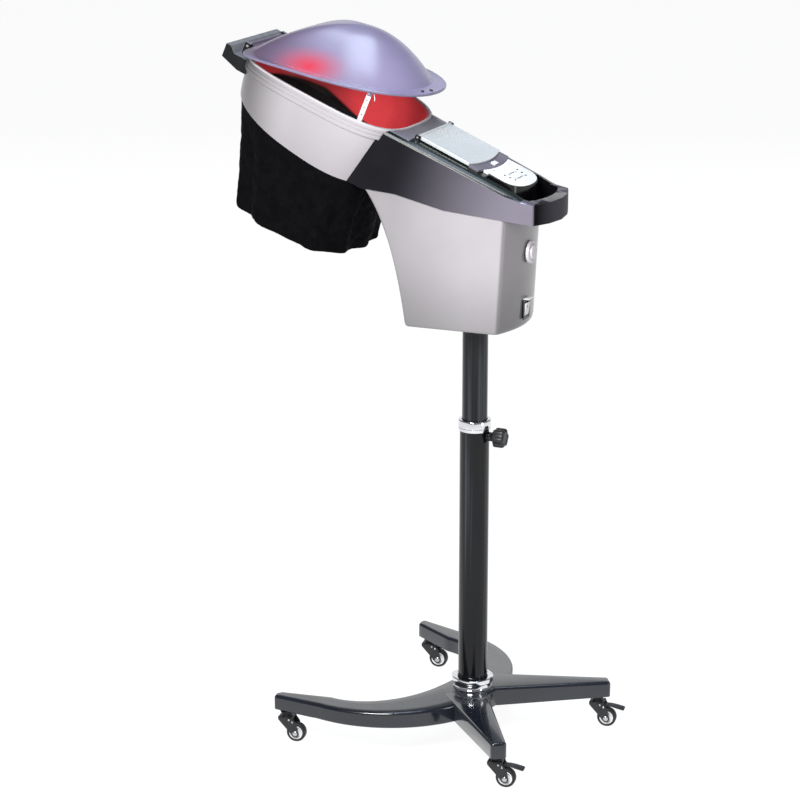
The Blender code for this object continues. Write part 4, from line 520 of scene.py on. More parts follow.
# Black-passivated zinc of the caster races.
black_zinc = surface(
    "black_zinc", ("#1A1B1D", "#2A2B2E"), 9, (0.25, 0.40), 1.0, 0.010, Metallic=0.7,
)
# Smooth grey ABS of the deck in front of the lid.
deck_grey = surface("deck_grey_abs", ("#62606A", "#6C6A75"), 80, (0.28, 0.36), 0.8, 0.003)
# Painted light: a paler top on the front bracket, where light falls on it.
bracket_top_painted_light = surface("worn_pale_grey_nylon", ("#55565A", "#65666A"), 30, (0.30, 0.42), 0.8, 0.030)
# Edges of the housing painted lighter as a highlight, where they would catch the light.
edge_painted_highlight = surface(
    "rubbed_lacquer_edge", ("#6A6770", "#85828C"), 20, (0.26, 0.40), 0.8, 0.010, Metallic=0.5,
)
# Glass-epoxy circuit board with solder mask.
board_mask = surface("green_solder_mask", ("#0E4A26", "#1B6B3A"), 5, (0.25, 0.40), 0.8, 0.030)
# Milky polypropylene of the water tank.
tank_pp = surface("milky_tank_pp", ("#D5DCE0", "#E6EBEE"), 30, (0.25, 0.38), 0.8, 0.015)

# The hood's lacquer: the same silver, with painted shade added further down.
hood_lacquer = surface(
    "silver_lacquered_hood", ("#A4A0A4", "#ACA8AC"), 160, (0.30, 0.40), 0.9, 0.010,
    Metallic=0.30, Coat_Weight=0.35, Coat_Roughness=0.12,
)
# The hood's lip: polished by the visor that closes on it, and painted lighter along its top as a
# highlight.
lip_painted_highlight = surface(
    "polished_silver_lip", ("#B4B0B3", "#C0BCBF"), 90, (0.22, 0.32), 0.9, 0.006,
    Metallic=0.25, Coat_Weight=0.4,
)
# Cut edge of the visor sheet: smoother and a little darker than the face.
visor_edge = surface("lavender_petg_edge", ("#5E5970", "#6D6880"), 60, (0.18, 0.28), 1.0, 0.002)
# Polyester velvet: near-black pile, brushed in patches, with a cold sheen at grazing angles.
velvet = surface(
    "crushed_black_velvet", ("#020203", "#060609"), 22, (0.75, 0.95), 0.9, 0.12,
    Sheen_Weight=0.03, Sheen_Roughness=0.38, Sheen_Tint=linear("#8C8CA6"), Specular_IOR_Level=0.06,
)


def ribs_and_painted_rib_light(material):
    """Slanting ribs that fade from the hinge, drawn coarse enough to show, with painted light and shade
    along each rib.
    """
    rib_pitch, rib_height = 0.0040, 0.0004
    tree, shader, place = open_up(material)
    hinge = Vector(JOINTS["lid_hinge"]["pos_m"])
    across = measure(tree, place, REARWARD * 0.80 + Vector((0, 0.60, 0)), hinge)
    turns = {1: 2 * math.pi / rib_pitch}
    phase = add(tree, "ShaderNodeMath", turns, {0: across}, operation="MULTIPLY")
    wave = add(tree, "ShaderNodeMath", links={0: phase.outputs[0]}, operation="SINE")
    fade = grade(tree, place, REARWARD, hinge, span(0.085, 0.020), **SMOOTH)
    ribs = add(tree, "ShaderNodeMath", links={0: wave.outputs[0], 1: fade}, operation="MULTIPLY")
    bump = add(
        tree, "ShaderNodeBump", {"Strength": 0.5, "Distance": rib_height},
        {"Height": ribs.outputs[0], "Normal": shader.inputs["Normal"].links[0].from_socket},
    )
    tree.links.new(bump.outputs[0], shader.inputs["Normal"])
    # Painted light and shade: the colour follows each rib.
    lines = span(-1.0, 1.0, 0.86, 1.06)
    tones = add(tree, "ShaderNodeMapRange", lines, {"Value": ribs.outputs[0]})
    tone_coat(tree, shader, tones.outputs[0])


# The next three paint light and shade into a lacquer in fixed places, beyond what the lights do.


def paint_housing_light_and_shade(material):
    """Painted light and shade: the pearl is lighter low down to the rear as a painted reflection, and
    the tray's end face is painted black by its near corner as shade.
    """
    tree, shader, place = open_up(material)
    # Painted reflection: a lighter tone low down to the rear.
    down_rear = (0.94, 0, -0.34)
    share = grade(tree, place, down_rear, on_mast(-0.100, 0, 1.200), span(-0.02, 0.25), **SMOOTH)
    blend_coat(tree, shader, share, "#8A8592")
    # Painted shade: the tray's end face goes black by its near corner.
    tray_end = on_mast(SPREAD_REAR_X, 0, 0)
    end = grade(tree, place, (1, 0, 0), tray_end, span(0.0006, 0.0030), **SMOOTH)
    fade = grade(tree, place, (0, 1, 0), on_mast(0, -0.08, 0), span(0.0, 0.13, 1.0, 0.35))
    cover = add(tree, "ShaderNodeMath", links={0: end, 1: fade}, operation="MULTIPLY")
    blend_coat(tree, shader, cover.outputs[0], "#0A0A0C")


def paint_body_shade(material):
    """Painted shade: the silver darkens towards the lower edge, round the nose and on the rear wall."""
    tree, shader, place = open_up(material)
    rear_foot = on_mast(BODY_REAR_LOW, 0, BODY_LOW)
    rear_lean = (BODY_REAR_HIGH - BODY_REAR_LOW) / BODY_HEIGHT
    # Painted shade on the lower edge, the rear wall and the nose.
    tone_coat(
        tree, shader,
        grade(tree, place, (0, 0, 1), (0, 0, 0), span(0.84, 1.02, 0.62), **SMOOTH),
        grade(tree, place, (1, 0, -rear_lean), rear_foot, span(-0.006, 0.0, 1.0, 0.5), **SMOOTH),
        grade(tree, place, (1, 0, 0), on_mast(0, 0, 0), span(-0.13, 0.02, 0.68)),
    )


def paint_hood_shade(material):
    """Painted shade: the silver darkens where the wall rolls under and towards the hood's front end,
    and is painted a touch lighter to the rear.
    """
    tree, shader, place = open_up(material)
    # Painted shade under the roll and at the front end; painted light, faint, to the rear.
    tone_coat(
        tree, shader,
        grade(tree, place, UPWARD, HEAD_ORIGIN, span(-0.125, -0.020, 0.80)),
        grade(tree, place, REARWARD, HEAD_ORIGIN, span(-0.080, 0.060, 1.0, 1.04), **SMOOTH),
        grade(tree, place, REARWARD, HEAD_ORIGIN, span(-0.252, -0.115, 0.30), **SMOOTH),
    )


def paint_reflection_streaks(material, tone):
    """Painted reflection: long upright streaks of a lighter tone, like a room mirrored in a tube."""
    tree, shader, place = open_up(material)
    drawn = add(tree, "ShaderNodeMapping", {"Scale": (120, 120, 1.6)}, {"Vector": place})
    fine = {"Scale": 1.0, "Detail": 2}
    grain = add(tree, "ShaderNodeTexNoise", fine, {"Vector": drawn.outputs[0]})
    share = add(tree, "ShaderNodeMapRange", span(0.46, 0.74), {"Value": grain.outputs["Fac"]}, **SMOOTH)
    blend_coat(tree, shader, share.outputs[0], tone)


def lit_liner():
    """Satin liner with painted light: a painted red glow at the rear and along its top, and painted
    shade towards the front.
    """
    material = surface("red_lit_satin_liner", ("#3C080C", "#560E13"), 60, (0.30, 0.42), 0.8, 0.02)
    tree, shader, place = open_up(material)
    edge_start, edge_slope = -0.175, 0.284
    up = measure(tree, place, UPWARD, HEAD_ORIGIN)
    back = measure(tree, place, REARWARD, in_head(edge_start, 0, 0))
    past = add(tree, "ShaderNodeMath", {1: 0.0}, {0: back}, operation="MAXIMUM")
    links = {0: past.outputs[0], 2: up}
    above = add(tree, "ShaderNodeMath", {1: edge_slope}, links, operation="MULTIPLY_ADD").outputs[0]
    lit = add(tree, "ShaderNodeMapRange", span(-0.074, -0.066), {"Value": above}, **SMOOTH)
    dark = add(tree, "ShaderNodeMapRange", span(-0.074, -0.066, 1.0, 0.0), {"Value": above}, **SMOOTH)
    # Painted shade below the lit edge.
    blend_coat(tree, shader, dark.outputs[0], "#0A0506")
    # Centre of the painted red glow.
    lamp = {1: in_head(-0.060, 0.135, -0.066)}
    away = add(tree, "ShaderNodeVectorMath", lamp, {0: place}, operation="DISTANCE").outputs["Value"]
    near = add(tree, "ShaderNodeMapRange", span(0.125, 0.015, 0.34, 1.04), {"Value": away}, **SMOOTH)
    cloud = add(tree, "ShaderNodeTexNoise", {"Scale": 22, "Detail": 3}, {"Vector": place})
    uneven = add(tree, "ShaderNodeMapRange", span(0.3, 0.7, 0.80), {"Value": cloud.outputs["Fac"]})
    links = {0: lit.outputs[0], 1: near.outputs[0]}
    wash = add(tree, "ShaderNodeMath", links=links, operation="MULTIPLY")
    links = {0: wash.outputs[0], 1: uneven.outputs[0]}
    glow = add(tree, "ShaderNodeMath", links=links, operation="MULTIPLY")
    # The liner is no lamp: its red glow is painted.
    paint_glow(tree, shader, glow.outputs[0], "#F0484E", 0.78)
    return material


def paint_visor_shade_and_glow():
    """Thermoformed PETG, smoky lavender: hazy and glossy, with painted shade towards the front, painted
    light to the rear and a painted red glow where the lamp would show through.
    """
    material = surface(
        "lavender_petg", ("#645E77", "#716A84"), 300, (0.30, 0.34), 9.0, 0.0004,
        IOR=1.57, Coat_Weight=0.32, Coat_Roughness=0.26, Alpha=0.90,
    )
    tree, shader, place = open_up(material)
    origin = in_visor(0, 0, 0)
    rearward = in_visor(1, 0, 0) - origin
    # Painted shade towards the front.
    fore = grade(tree, place, rearward, origin, span(-0.23, -0.09, 0.65, 0.0), **SMOOTH)
    blend_coat(tree, shader, fore, "#3A1F2E")
    # Painted light towards the rear.
    tone_coat(tree, shader, grade(tree, place, rearward, origin, span(-0.06, 0.07, 1.0, 1.35)))
    # Centre of the painted red glow.
    lamp = {1: in_visor(-0.118, -0.128, 0.010)}
    away = add(tree, "ShaderNodeVectorMath", lamp, {0: place}, operation="SUBTRACT").outputs[0]
    stretch = {1: (0.55, 1.0, 1.0)}
    squeezed = add(tree, "ShaderNodeVectorMath", stretch, {0: away}, operation="MULTIPLY").outputs[0]
    reach = add(tree, "ShaderNodeVectorMath", links={0: squeezed}, operation="LENGTH").outputs["Value"]
    painted_glow_share = add(tree, "ShaderNodeMapRange", span(0.052, -0.010), {"Value": reach}, **SMOOTH).outputs[0]
    blend_coat(tree, shader, painted_glow_share, "#8C1428")
    # The dome is no lamp: its red glow is painted.
    paint_glow(tree, shader, painted_glow_share, "#F0303F", 0.40)
    return material


ribs_and_painted_rib_light(lid_lacquer)
paint_housing_light_and_shade(pearl_black)
paint_body_shade(silver_lacquer)
paint_hood_shade(hood_lacquer)
# Painted reflection streaks on the black mast.
paint_reflection_streaks(mast_coat, "#34373C")
liner_finish = lit_liner()
visor_finish = paint_visor_shade_and_glow()


# The hood


def hood_plan(w, outset=0.0):
    """The hood's outline at a height from its plane."""
    share = min(max(-w / HOOD_DEPTH, 0), 1)
    return outline(
        mix(HOOD_FRONT, HOOD_LOW_FRONT, share) - outset,
        mix(HOOD_REAR, HOOD_LOW_REAR, share) + outset,
        mix(HOOD_HALF, HOOD_LOW_HALF, share) + outset,
        mix(HOOD_FRONT_POWER, HOOD_LOW_FRONT_POWER, share),
        HOOD_REAR_POWER,
        HOOD_STEPS,
    )


def lifted(u, w):
    """The hood's wall is cut away upwards towards the front."""
    below = max(-RIM_HEIGHT - w, 0) / (HOOD_DEPTH - RIM_HEIGHT)
    forward = max(HOOD_LOW_REAR - u, 0) / (HOOD_LOW_REAR - HOOD_LOW_FRONT)
    return w + HOOD_RISE * below * forward**2


def hood_loop(w, outset=0.0, raise_by=0.0):
    """A loop of the hood's wall."""
    return [in_head(u, y, lifted(u, w) + raise_by) for u, y in hood_plan(w, outset)]


def build_hood():
    """Wall, grooved rim and a liner with a painted red glow."""
    wall, under_rim, rows = 0.003, -0.020, 16
    levels = [mix(under_rim, -HOOD_DEPTH, k / rows) for k in range(rows + 1)]
    outer = [hood_loop(w) for w in levels]
    edge = [hood_loop(-HOOD_DEPTH, -0.0012, -0.0004), hood_loop(-HOOD_DEPTH, -wall + 0.0006)]
    inner = [hood_loop(w, -wall) for w in reversed(levels)]
    shell = tube(outer + edge + inner)
    middle = in_head((HOOD_FRONT + HOOD_REAR) / 2, 0, -HOOD_DEPTH / 2)

    def faces_in(face):
        return face.normal.dot(face.calc_center_median() - middle) < -0.01

    inside = [(dark_flock, faces_in)]
    put("hood_wall", shell, "head", hood_lacquer, ["hood_shell"], 34, inside)
    proud, groove = 0.0040, 0.0010
    profile = [
        (0.0002, -0.0262), (0.0030, -0.0262), (proud, -0.0250), (proud, -0.0180),
        (proud - groove, -0.0176), (proud - groove, -0.0168), (proud, -0.0162),
        (proud, -0.0100), (proud - groove, -0.0096), (proud - groove, -0.0088),
        (proud, -0.0082), (proud, -0.0030), (0.0035, -0.0012), (0.0024, -0.0002),
        (0.0010, 0.0), (-0.0012, 0.0), (-0.0024, -0.0006), (-0.0030, -0.0018),
        (-0.0030, -0.0100), (0.0002, -0.0110),
    ]
    rim = tube([[in_head(u, y, w) for u, y in hood_plan(w, out)] for out, w in profile])
    lip_low = -0.0034

    def is_lip(face):
        return (face.calc_center_median() - HEAD_ORIGIN).dot(UPWARD) > lip_low

    # Painted highlight along the top of the lip.
    polished = [(lip_painted_highlight, is_lip)]
    put("hood_lip", rim, "head", hood_lacquer, ["hood_rim"], 30, polished)
    inset, sheet, rows = 0.0033, 0.002, 12
    liner_levels = [mix(-0.003, -0.100, k / rows) for k in range(rows + 1)]
    faces = [hood_loop(w, -inset) for w in liner_levels]
    backs = [hood_loop(w, -inset - sheet) for w in reversed(liner_levels)]
    put("lit_liner", tube(faces + backs), "head", liner_finish, ["hood_liner"])


# The visor


def build_visor():
    """Flange and dome of one sheet, its hinge leaf and two screws."""
    edge = outline(*FLANGE, *FLANGE_POWERS, HOOD_STEPS)
    base = outline(*DOME_BASE, *DOME_POWERS, HOOD_STEPS)
    loops = []
    flange_top, edge_top, sheet = 0.0015, 0.0011, 0.0022
    lip = (
        (1.0, -0.0030), (1.003, -0.0012), (1.0, 0.0006),
        (0.93, flange_top), (0.45, flange_top), (0.12, 0.0018),
    )
    for share, height in lip:
        loop = []
        for (u, y), (base_u, base_y) in zip(edge, base):
            loop.append(in_visor(mix(base_u, u, share), mix(base_y, y, share), height))
        loops.append(loop)
    rings = 44
    for k in range(1, rings):
        share = 1 - (k / rings) ** 1.4
        lift = flange_top + DOME_HEIGHT * (1 - share**DOME_ROUNDNESS) ** DOME_CROWN
        loops.append([in_visor(mix(DOME_APEX_U, u, share), y * share, lift) for u, y in base])
    dome = skin(loops, True, False, True)
    origin = in_visor(0, 0, 0)
    up = in_visor(0, 0, 1) - origin

    def is_edge(face):
        return (face.calc_center_median() - origin).dot(up) < edge_top

    coats = [(visor_edge, is_edge)]
    piece = put("visor_dome", dome, "visor", visor_finish, ["visor"], 24, coats)
    wall = piece.modifiers.new("sheet_thickness", "SOLIDIFY")
    wall.thickness = sheet
    wall.offset = -1
    leaf_half = 0.066
    tab = block(0, 0.018, -leaf_half, leaf_half, -0.0024, 0.0012, 0.0008)
    half_barrel = ((0.0026, -leaf_half), (0.0042, -leaf_half), (0.0046, -0.0655))
    barrel = lathe(both_ways(half_barrel), TURN_TO_Y, 32)
    low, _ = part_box("visor_stay")
    lug_y = low.y - MAST_Y + 0.0025
    lug = block(0.2845, 0.2935, lug_y - 0.0022, lug_y + 0.0003, -0.0130, 0.0, 0.0006)
    fittings = joined([tab, barrel, lug])
    for vert in fittings.verts:
        vert.co = in_visor(vert.co.x + VISOR_HINGE_U, vert.co.y, vert.co.z)
    put("visor_hinge_leaf", fittings, "visor", visor_finish)
    heads = []
    for u, y in ((0.0815, -0.037), (0.0885, -0.012)):
        head = lathe(
            ((0, 0.0012), (0.0014, 0.0012), (0.0016, 0.0022), (0.0026, 0.0024),
             (0.0033, 0.0016), (0.0034, 0.0)), steps=24,
        )
        for vert in head.verts:
            vert.co = in_visor(u + vert.co.x, y + vert.co.y, vert.co.z + 0.0012)
        heads.append(head)
    put("visor_screws", joined(heads), "visor", charcoal)


# The cloth skirt


def build_skirt():
    """Cloth whose folds deepen towards a turned hem, and its area."""
    steps, rows, hem_rows = 264, 72, 5
    hem_front, hem_rear, hem_half, hem_power = -0.488, -0.240, 0.128, 2.6
    hem_height, hem_slope, rear_lift = 1.0245, 0.42, 0.012
    folds, fold_depth, ripples, ripple_depth = 11, 0.006, 23, 0.0012
    centre, half = (hem_front + hem_rear) / 2, (hem_rear - hem_front) / 2
    inset = 0.0022
    top = outline(
        HOOD_LOW_FRONT + inset, HOOD_LOW_REAR - inset, HOOD_LOW_HALF - inset,
        HOOD_LOW_FRONT_POWER, HOOD_REAR_POWER, steps,
    )
    hem = outline(hem_front, hem_rear, hem_half, hem_power, hem_power, steps)
    loops = []
    for row in range(rows + 1):
        share = row / rows
        loop = []
        for k in range(steps):
            angle = 2 * math.pi * k / steps
            u, y = top[k]
            start = in_head(u, y, lifted(u, -HOOD_DEPTH) - 0.0003)
            hem_x, hem_y = hem[k]
            lift = rear_lift * max((hem_x - centre) / half, 0) ** 3
            end = on_mast(hem_x, hem_y, hem_height - hem_slope * (hem_x - centre) + lift)
            point = start.lerp(end, share)
            out = Vector((hem_x - centre, hem_y, 0)).normalized()
            fold = fold_depth * math.cos(folds * angle + math.sin(2 * angle))
            sway = 2.0 * share + 1.7 * math.sin(3 * angle)
            fold += ripple_depth * math.sin(ripples * angle + sway)
            spot = Vector((math.cos(angle) * 2.4, math.sin(angle) * 2.4, share * 1.7))
            crease = noise.noise(spot * 2.1) * 0.0034 + noise.noise(spot * 5.3) * 0.0020
            crease += noise.noise(spot * 11.0) * 0.0010
            hang = min(share * 3.0, 1.0)
            point += out * (fold * share + crease * hang - 0.001 * hang)
            hem_spot = Vector((math.cos(angle) * 3, math.sin(angle) * 3, 7))
            point.z += noise.noise(hem_spot) * 0.004 * share**4
            if row >= rows - hem_rows:
                point += out * 0.0007 * math.sin(math.pi * (rows - row) / hem_rows)
            loop.append(point)
        loops.append(loop)
    turn_in, turn_up = 0.0022, Vector((0, 0, 0.010))
    turned_in = []
    for point in loops[-1]:
        inwards = Vector((centre + MAST_X - point.x, MAST_Y - point.y, 0)).normalized()
        turned_in.append(point + inwards * turn_in)
    tuck = [point + turn_up for point in turned_in]
    cloth = skin(loops + [turned_in, tuck])
    piece = put("cloth_skirt", cloth, "head", velvet, ["skirt"], 180)
    thick = piece.modifiers.new("pile_thickness", "SOLIDIFY")
    thick.thickness = 0.0012
    thick.offset = -1
    area = sum(face.area for face in piece.data.polygons)
    return piece, area


# The body


def seam_height(x):
    """Where the silver body meets the black housing."""
    for (x0, z0), (x1, z1) in zip(SEAM, SEAM[1:]):
        if x <= x1:
            return mix(z0, z1, (x - x0) / (x1 - x0))
    return SEAM[-1][1]


def spread(x):
    """How much the plan is widened at x."""
    return mix(FRONT_SPREAD, REAR_SPREAD, (x - SEAM[0][0]) / (SPREAD_REAR_X - SEAM[0][0]))


def body_front(z):
    """The front edge's curve, solved for the height."""
    (x0, z0), (x1, z1), (x2, z2) = BODY_NOSE
    t = 0.5
    for _ in range(24):
        height = (1 - t) ** 2 * z0 + 2 * t * (1 - t) * z1 + t**2 * z2
        slope = -2 * (1 - t) * z0 + 2 * (1 - 2 * t) * z1 + 2 * t * z2
        t = min(max(t - (height - z) / slope, 0), 1)
    return (1 - t) ** 2 * x0 + 2 * t * (1 - t) * x1 + t**2 * x2


def body_loop(z_share, inset, count=22, corner_steps=8, side_steps=30):
    """A level round the body from its rear middle; the level follows the seam as it rises."""
    half = BODY_HALF - inset
    rear_row = [half - BODY_EDGE - (half - BODY_EDGE) * k / count for k in range(count + 1)]
    sides = [("rear", y, 0.0) for y in reversed(rear_row)]
    corner = []
    for k in range(1, corner_steps + 1):
        angle = math.pi / 2 * k / corner_steps
        out = half - BODY_EDGE + BODY_EDGE * math.sin(angle)
        corner.append((out, BODY_EDGE * (1 - math.cos(angle))))
    sides += [("rear", *turn) for turn in corner]
    sides += [("side", half, k / side_steps) for k in range(1, side_steps)]
    sides += [("front", *turn) for turn in reversed(corner)]
    sides += [("front", y, 0.0) for y in rear_row]
    right = []
    for kind, y, extra in sides:
        x, z = 0.0, BODY_LOW
        bulge = BODY_REAR_BULGE * (1 - (y / half) ** 2)
        # The height follows the seam at x, and x follows the height, so a few rounds settle both.
        for _ in range(6):
            z = mix(BODY_LOW + inset, seam_height(x) - SEAM_GAP, z_share)
            risen = (z - BODY_LOW) / BODY_HEIGHT
            rear_x = mix(BODY_REAR_LOW, BODY_REAR_HIGH, risen) + bulge - inset
            front_x = body_front(min(z, BODY_NOSE[0][1])) + inset
            if kind == "rear":
                x = rear_x - extra
            elif kind == "front":
                x = front_x + extra
            else:
                x = mix(rear_x - BODY_EDGE, front_x + BODY_EDGE, extra)
        right.append((x, y * spread(x), z))
    left = [(x, -y, z) for x, y, z in reversed(right[1:-1])]
    return [on_mast(*point) for point in right + left]


def build_body():
    """The silver body, rounded under and open where the housing sits on it."""
    rounded, rows, top_inset = 0.005, 30, 0.0030
    loops = []
    for angle in (0, 30, 60):
        a = math.radians(angle)
        inset = rounded * (1 - math.sin(a))
        base = body_loop(0.0, inset)
        loops.append([Vector((p.x, p.y, BODY_LOW + rounded * (1 - math.cos(a)))) for p in base])
    for k in range(1, rows + 1):
        if k / rows * BODY_HEIGHT > rounded:
            loops.append(body_loop(k / rows, 0.0))
    loops.append(body_loop(1.0, top_inset))
    body = skin(loops, True, True, False)
    put("body_cover", body, "head", silver_lacquer, ["body_shell"], 40)


# The stand


def leg_top(x, y):
    """The legs' top at a point of the plan."""
    beyond = max(math.hypot(x, y) - LEG_FALL_START, 0)
    return LEG_TOP - LEG_FALL * (1 - math.exp(-beyond / LEG_FALL_LENGTH))


def crescent_section(outer, inner):
    """A rounded box section between two plan points, with its top at the legs' height there."""
    width = (inner - outer).length
    ahead = (inner - outer) / width
    ring = []
    turns = [math.radians(a) for a in (0, 22.5, 45, 67.5, 90)]
    for angle in turns:
        ring.append((LEG_EDGE * (1 - math.cos(angle)), -LEG_EDGE * (1 - math.sin(angle)), True))
    for share in (0.25, 0.5, 0.75):
        ring.append((mix(LEG_EDGE, width - LEG_EDGE, share), 0.0, True))
    for angle in reversed(turns):
        along = width - LEG_EDGE * (1 - math.cos(angle))
        ring.append((along, -LEG_EDGE * (1 - math.sin(angle)), True))
    low = ((width, 0.002), (width - 0.002, 0.0), (0.002, 0.0), (0.0, 0.002))
    ring += [(along, height, False) for along, height in low]
    points = []
    for along, height, from_top in ring:
        spot = outer + ahead * along
        z = leg_top(spot.x, spot.y) + height if from_top else LEG_LOW + height
        points.append(in_stand(spot.x, spot.y, z))
    return points


def build_crescent():
    """The front leg: a half ring that runs on to two tips."""
    tip_steps, arc_steps, end_edge = 7, 96, 0.004
    pairs = []
    for k in range(tip_steps):
        share = k / tip_steps
        x = mix(CRESCENT_TIP_X, CRESCENT_X, share)
        outer = Vector((x, -mix(CRESCENT_TIP_OUT, CRESCENT_OUTER, share)))
        inner = Vector((x, -mix(CRESCENT_TIP_IN, CRESCENT_INNER_Y, share)))
        pairs.append((outer, inner))
    for k in range(arc_steps + 1):
        angle = math.pi * (k / arc_steps - 0.5)
        ahead, aside = math.cos(angle), math.sin(angle)
        outer = Vector((CRESCENT_X + CRESCENT_OUTER * ahead, CRESCENT_OUTER * aside))
        inner = Vector((CRESCENT_X + CRESCENT_INNER_X * ahead, CRESCENT_INNER_Y * aside))
        pairs.append((outer, inner))
    flip = [(Vector((o.x, -o.y)), Vector((i.x, -i.y))) for o, i in reversed(pairs[:tip_steps])]
    loops = [crescent_section(outer, inner) for outer, inner in pairs + flip]
    crescent = skin(loops, True, True, True)
    caps = [e for f in crescent.faces if len(f.verts) > 4 for e in f.edges]
    bmesh.ops.bevel(
        crescent, geom=caps, offset=end_edge, segments=3, profile=0.5, affect="EDGES",
        material=-1, clamp_overlap=True,
    )
    put("front_crescent", crescent, "base", leg_enamel, ["base_crescent"])


def rear_leg_plan(side, outset):
    """A straight leg that flares at the hub and narrows to a rounded end."""
    root = Vector((0.014, side * 0.0255))
    end = Vector((0.188, side * 0.190))
    along = (end - root).normalized()
    across = Vector((-along.y, along.x))
    root = root - along * outset
    half_root, half_end, radius = 0.031 + outset, 0.016 + outset, 0.007 + outset
    flare = 0.013
    points = [root - across * (half_root + flare * (1 - side))]
    for corner in (-1, 1):
        middle = end + (along + across * corner) * (half_end - radius)
        for k in range(9):
            angle = math.pi / 2 * (k / 8 + (corner - 1) / 2)
            points.append(middle + (along * math.cos(angle) + across * math.sin(angle)) * radius)
    points.append(root + across * (half_root + flare * (1 + side)))
    return points


def build_rear_legs():
    proud = 0.0007
    for side, label in ((-1, "left"), (1, "right")):
        loops = []
        for inset, height in ((0.002, 0.0), (0.0006, 0.0006), (0.0, 0.002)):
            loops.append([in_stand(p.x, p.y, LEG_LOW + height) for p in rear_leg_plan(side, -inset)])
        for degrees in (0, 18, 36, 54, 72, 90):
            a = math.radians(degrees)
            inset, drop = LEG_EDGE * (1 - math.cos(a)), LEG_EDGE * (1 - math.sin(a))
            plan = rear_leg_plan(side, -inset)
            loops.append([in_stand(p.x, p.y, leg_top(p.x, p.y) + proud - drop) for p in plan])
        leg = skin(loops, True, True, True)
        name = "rear_leg_casting_" + label
        put(name, leg, "base", leg_enamel, ["rear_leg_" + label])


def mast_tube(node, bore, radius, rings):
    """A tube of the mast with its top edge broken and rings of points at some heights."""
    low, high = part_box(node)
    chamfer = 0.0006
    profile = [(bore, low.z), (radius, low.z), *((radius, z) for z in rings)]
    profile += [(radius, high.z - chamfer), (radius - chamfer, high.z), (bore, high.z), (bore, low.z)]
    return lathe(profile, Matrix.Translation((MAST_X, MAST_Y, 0)), 96)


def build_mast():
    """Both tubes, the clamp screw's boss and the two chromed collars."""
    at = Matrix.Translation((MAST_X, MAST_Y, 0))
    lower = mast_tube("lower_mast", 0.0255, 0.029, (0.30, 0.50))
    boss = lathe(
        ((0.0, 0.0275), (0.0090, 0.0275), (0.0090, 0.0412), (0.0082, 0.0420), (0.0, 0.0420)),
        Matrix.Translation((MAST_X, MAST_Y, JOINTS["clamp_turn"]["pos_m"][2])) @ TURN_TO_X, 40,
    )
    put("lower_tube", joined([lower, boss]), "base", mast_coat, ["lower_mast"])
    upper = mast_tube("upper_mast", 0.0225, 0.025, (0.70, 0.80))
    put("upper_tube", upper, "upper_mast", mast_coat, ["upper_mast"])
    low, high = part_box("base_ring")
    z0, z1 = low.z, high.z
    ring = lathe(
        ((0.0294, z0), (0.0388, z0), (0.0392, z0 + 0.0010), (0.0380, z0 + 0.0022),
         (0.0368, z0 + 0.0040), (0.0366, z0 + 0.0110), (0.0376, z0 + 0.0128),
         (0.0404, z0 + 0.0140), (0.0416, z0 + 0.0150), (0.0420, z0 + 0.0166),
         (0.0420, z1 - 0.0030), (0.0416, z1 - 0.0012), (0.0404, z1 - 0.0002),
         (0.0390, z1), (0.0310, z1), (0.0298, z1 - 0.0008), (0.0294, z1 - 0.0020), (0.0294, z0)),
        at, 96,
    )
    put("base_collar", ring, "base", chrome, ["base_ring"])
    low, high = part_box("clamp_ring")
    z0, z1 = low.z, high.z
    clamp = lathe(
        ((0.0293, z0), (0.0310, z0), (0.0317, z0 + 0.0005), (0.0320, z0 + 0.0014),
         (0.0320, z0 + 0.0062), (0.0314, z0 + 0.0068), (0.0314, z0 + 0.0082), (0.0320, z0 + 0.0088),
         (0.0320, z1 - 0.0022), (0.0316, z1 - 0.0010), (0.0306, z1 - 0.0002), (0.0296, z1),
         (0.0262, z1), (0.0256, z1 - 0.0006), (0.0256, z1 - 0.0076),
         (0.0293, z1 - 0.0078), (0.0293, z0)),
        at, 96,
    )
    put("clamp_collar", clamp, "base", chrome, ["clamp_ring"])


def build_knob():
    """A lobed grip on the clamp screw."""
    height = JOINTS["clamp_turn"]["pos_m"][2]
    x0, x1 = 0.0424, 0.0664
    lobes, lobe_depth, steps = 6, 0.0016, 120
    loops = []
    profile = (
        (0.010, x0), (0.0152, x0 + 0.0002), (0.0172, x0 + 0.0014), (0.0180, x0 + 0.0034),
        (0.0180, x1 - 0.0060), (0.0174, x1 - 0.0032), (0.0158, x1 - 0.0012),
        (0.0132, x1 - 0.0002), (0.0110, x1 - 0.0002), (0.0100, x1 - 0.0012), (0.0040, x1 - 0.0012),
    )
    for radius, x in profile:
        deep = min(max((radius - 0.011) / 0.005, 0), 1)
        loop = []
        for k in range(steps):
            angle = 2 * math.pi * k / steps
            reach = radius + deep * lobe_depth * math.cos(lobes * angle)
            loop.append(on_mast(x, reach * math.cos(angle), height + reach * math.sin(angle)))
        loops.append(loop)
    knob = skin(loops, True, True, True)
    put("clamp_knob_grip", knob, "clamp_knob", charcoal, ["clamp_knob"], 42)


# The casters


def caster_place(name):
    """A caster's own axes, from the floor under its swivel."""
    x, y = JOINTS[name + "_swivel"]["pos_m"][:2]
    return Matrix.Translation((x, y, 0)) @ Matrix.Rotation(CASTER_HEADING, 4, "Z")


def fork_side(y0, y1):
    """One pressed cheek: broad under the crown, round about the axle."""
    round_end, steps = 0.0078, 10
    points = [(-CROWN_HALF, CROWN_TOP), (-CROWN_HALF, 0.0470)]
    for k in range(steps + 1):
        angle = math.radians(205 + 145 * k / steps)
        x = CASTER_TRAIL + round_end * math.cos(angle)
        points.append((x, WHEEL_RADIUS + round_end * math.sin(angle)))
    points += [(0.0225, 0.0400), (0.0170, 0.0470), (CROWN_HALF, CROWN_TOP)]
    cheek = plate(points, y0, y1, 0.0005, 2)
    return placed(cheek, TURN_TO_Y @ Matrix.Scale(-1, 4, (0, 0, 1)))


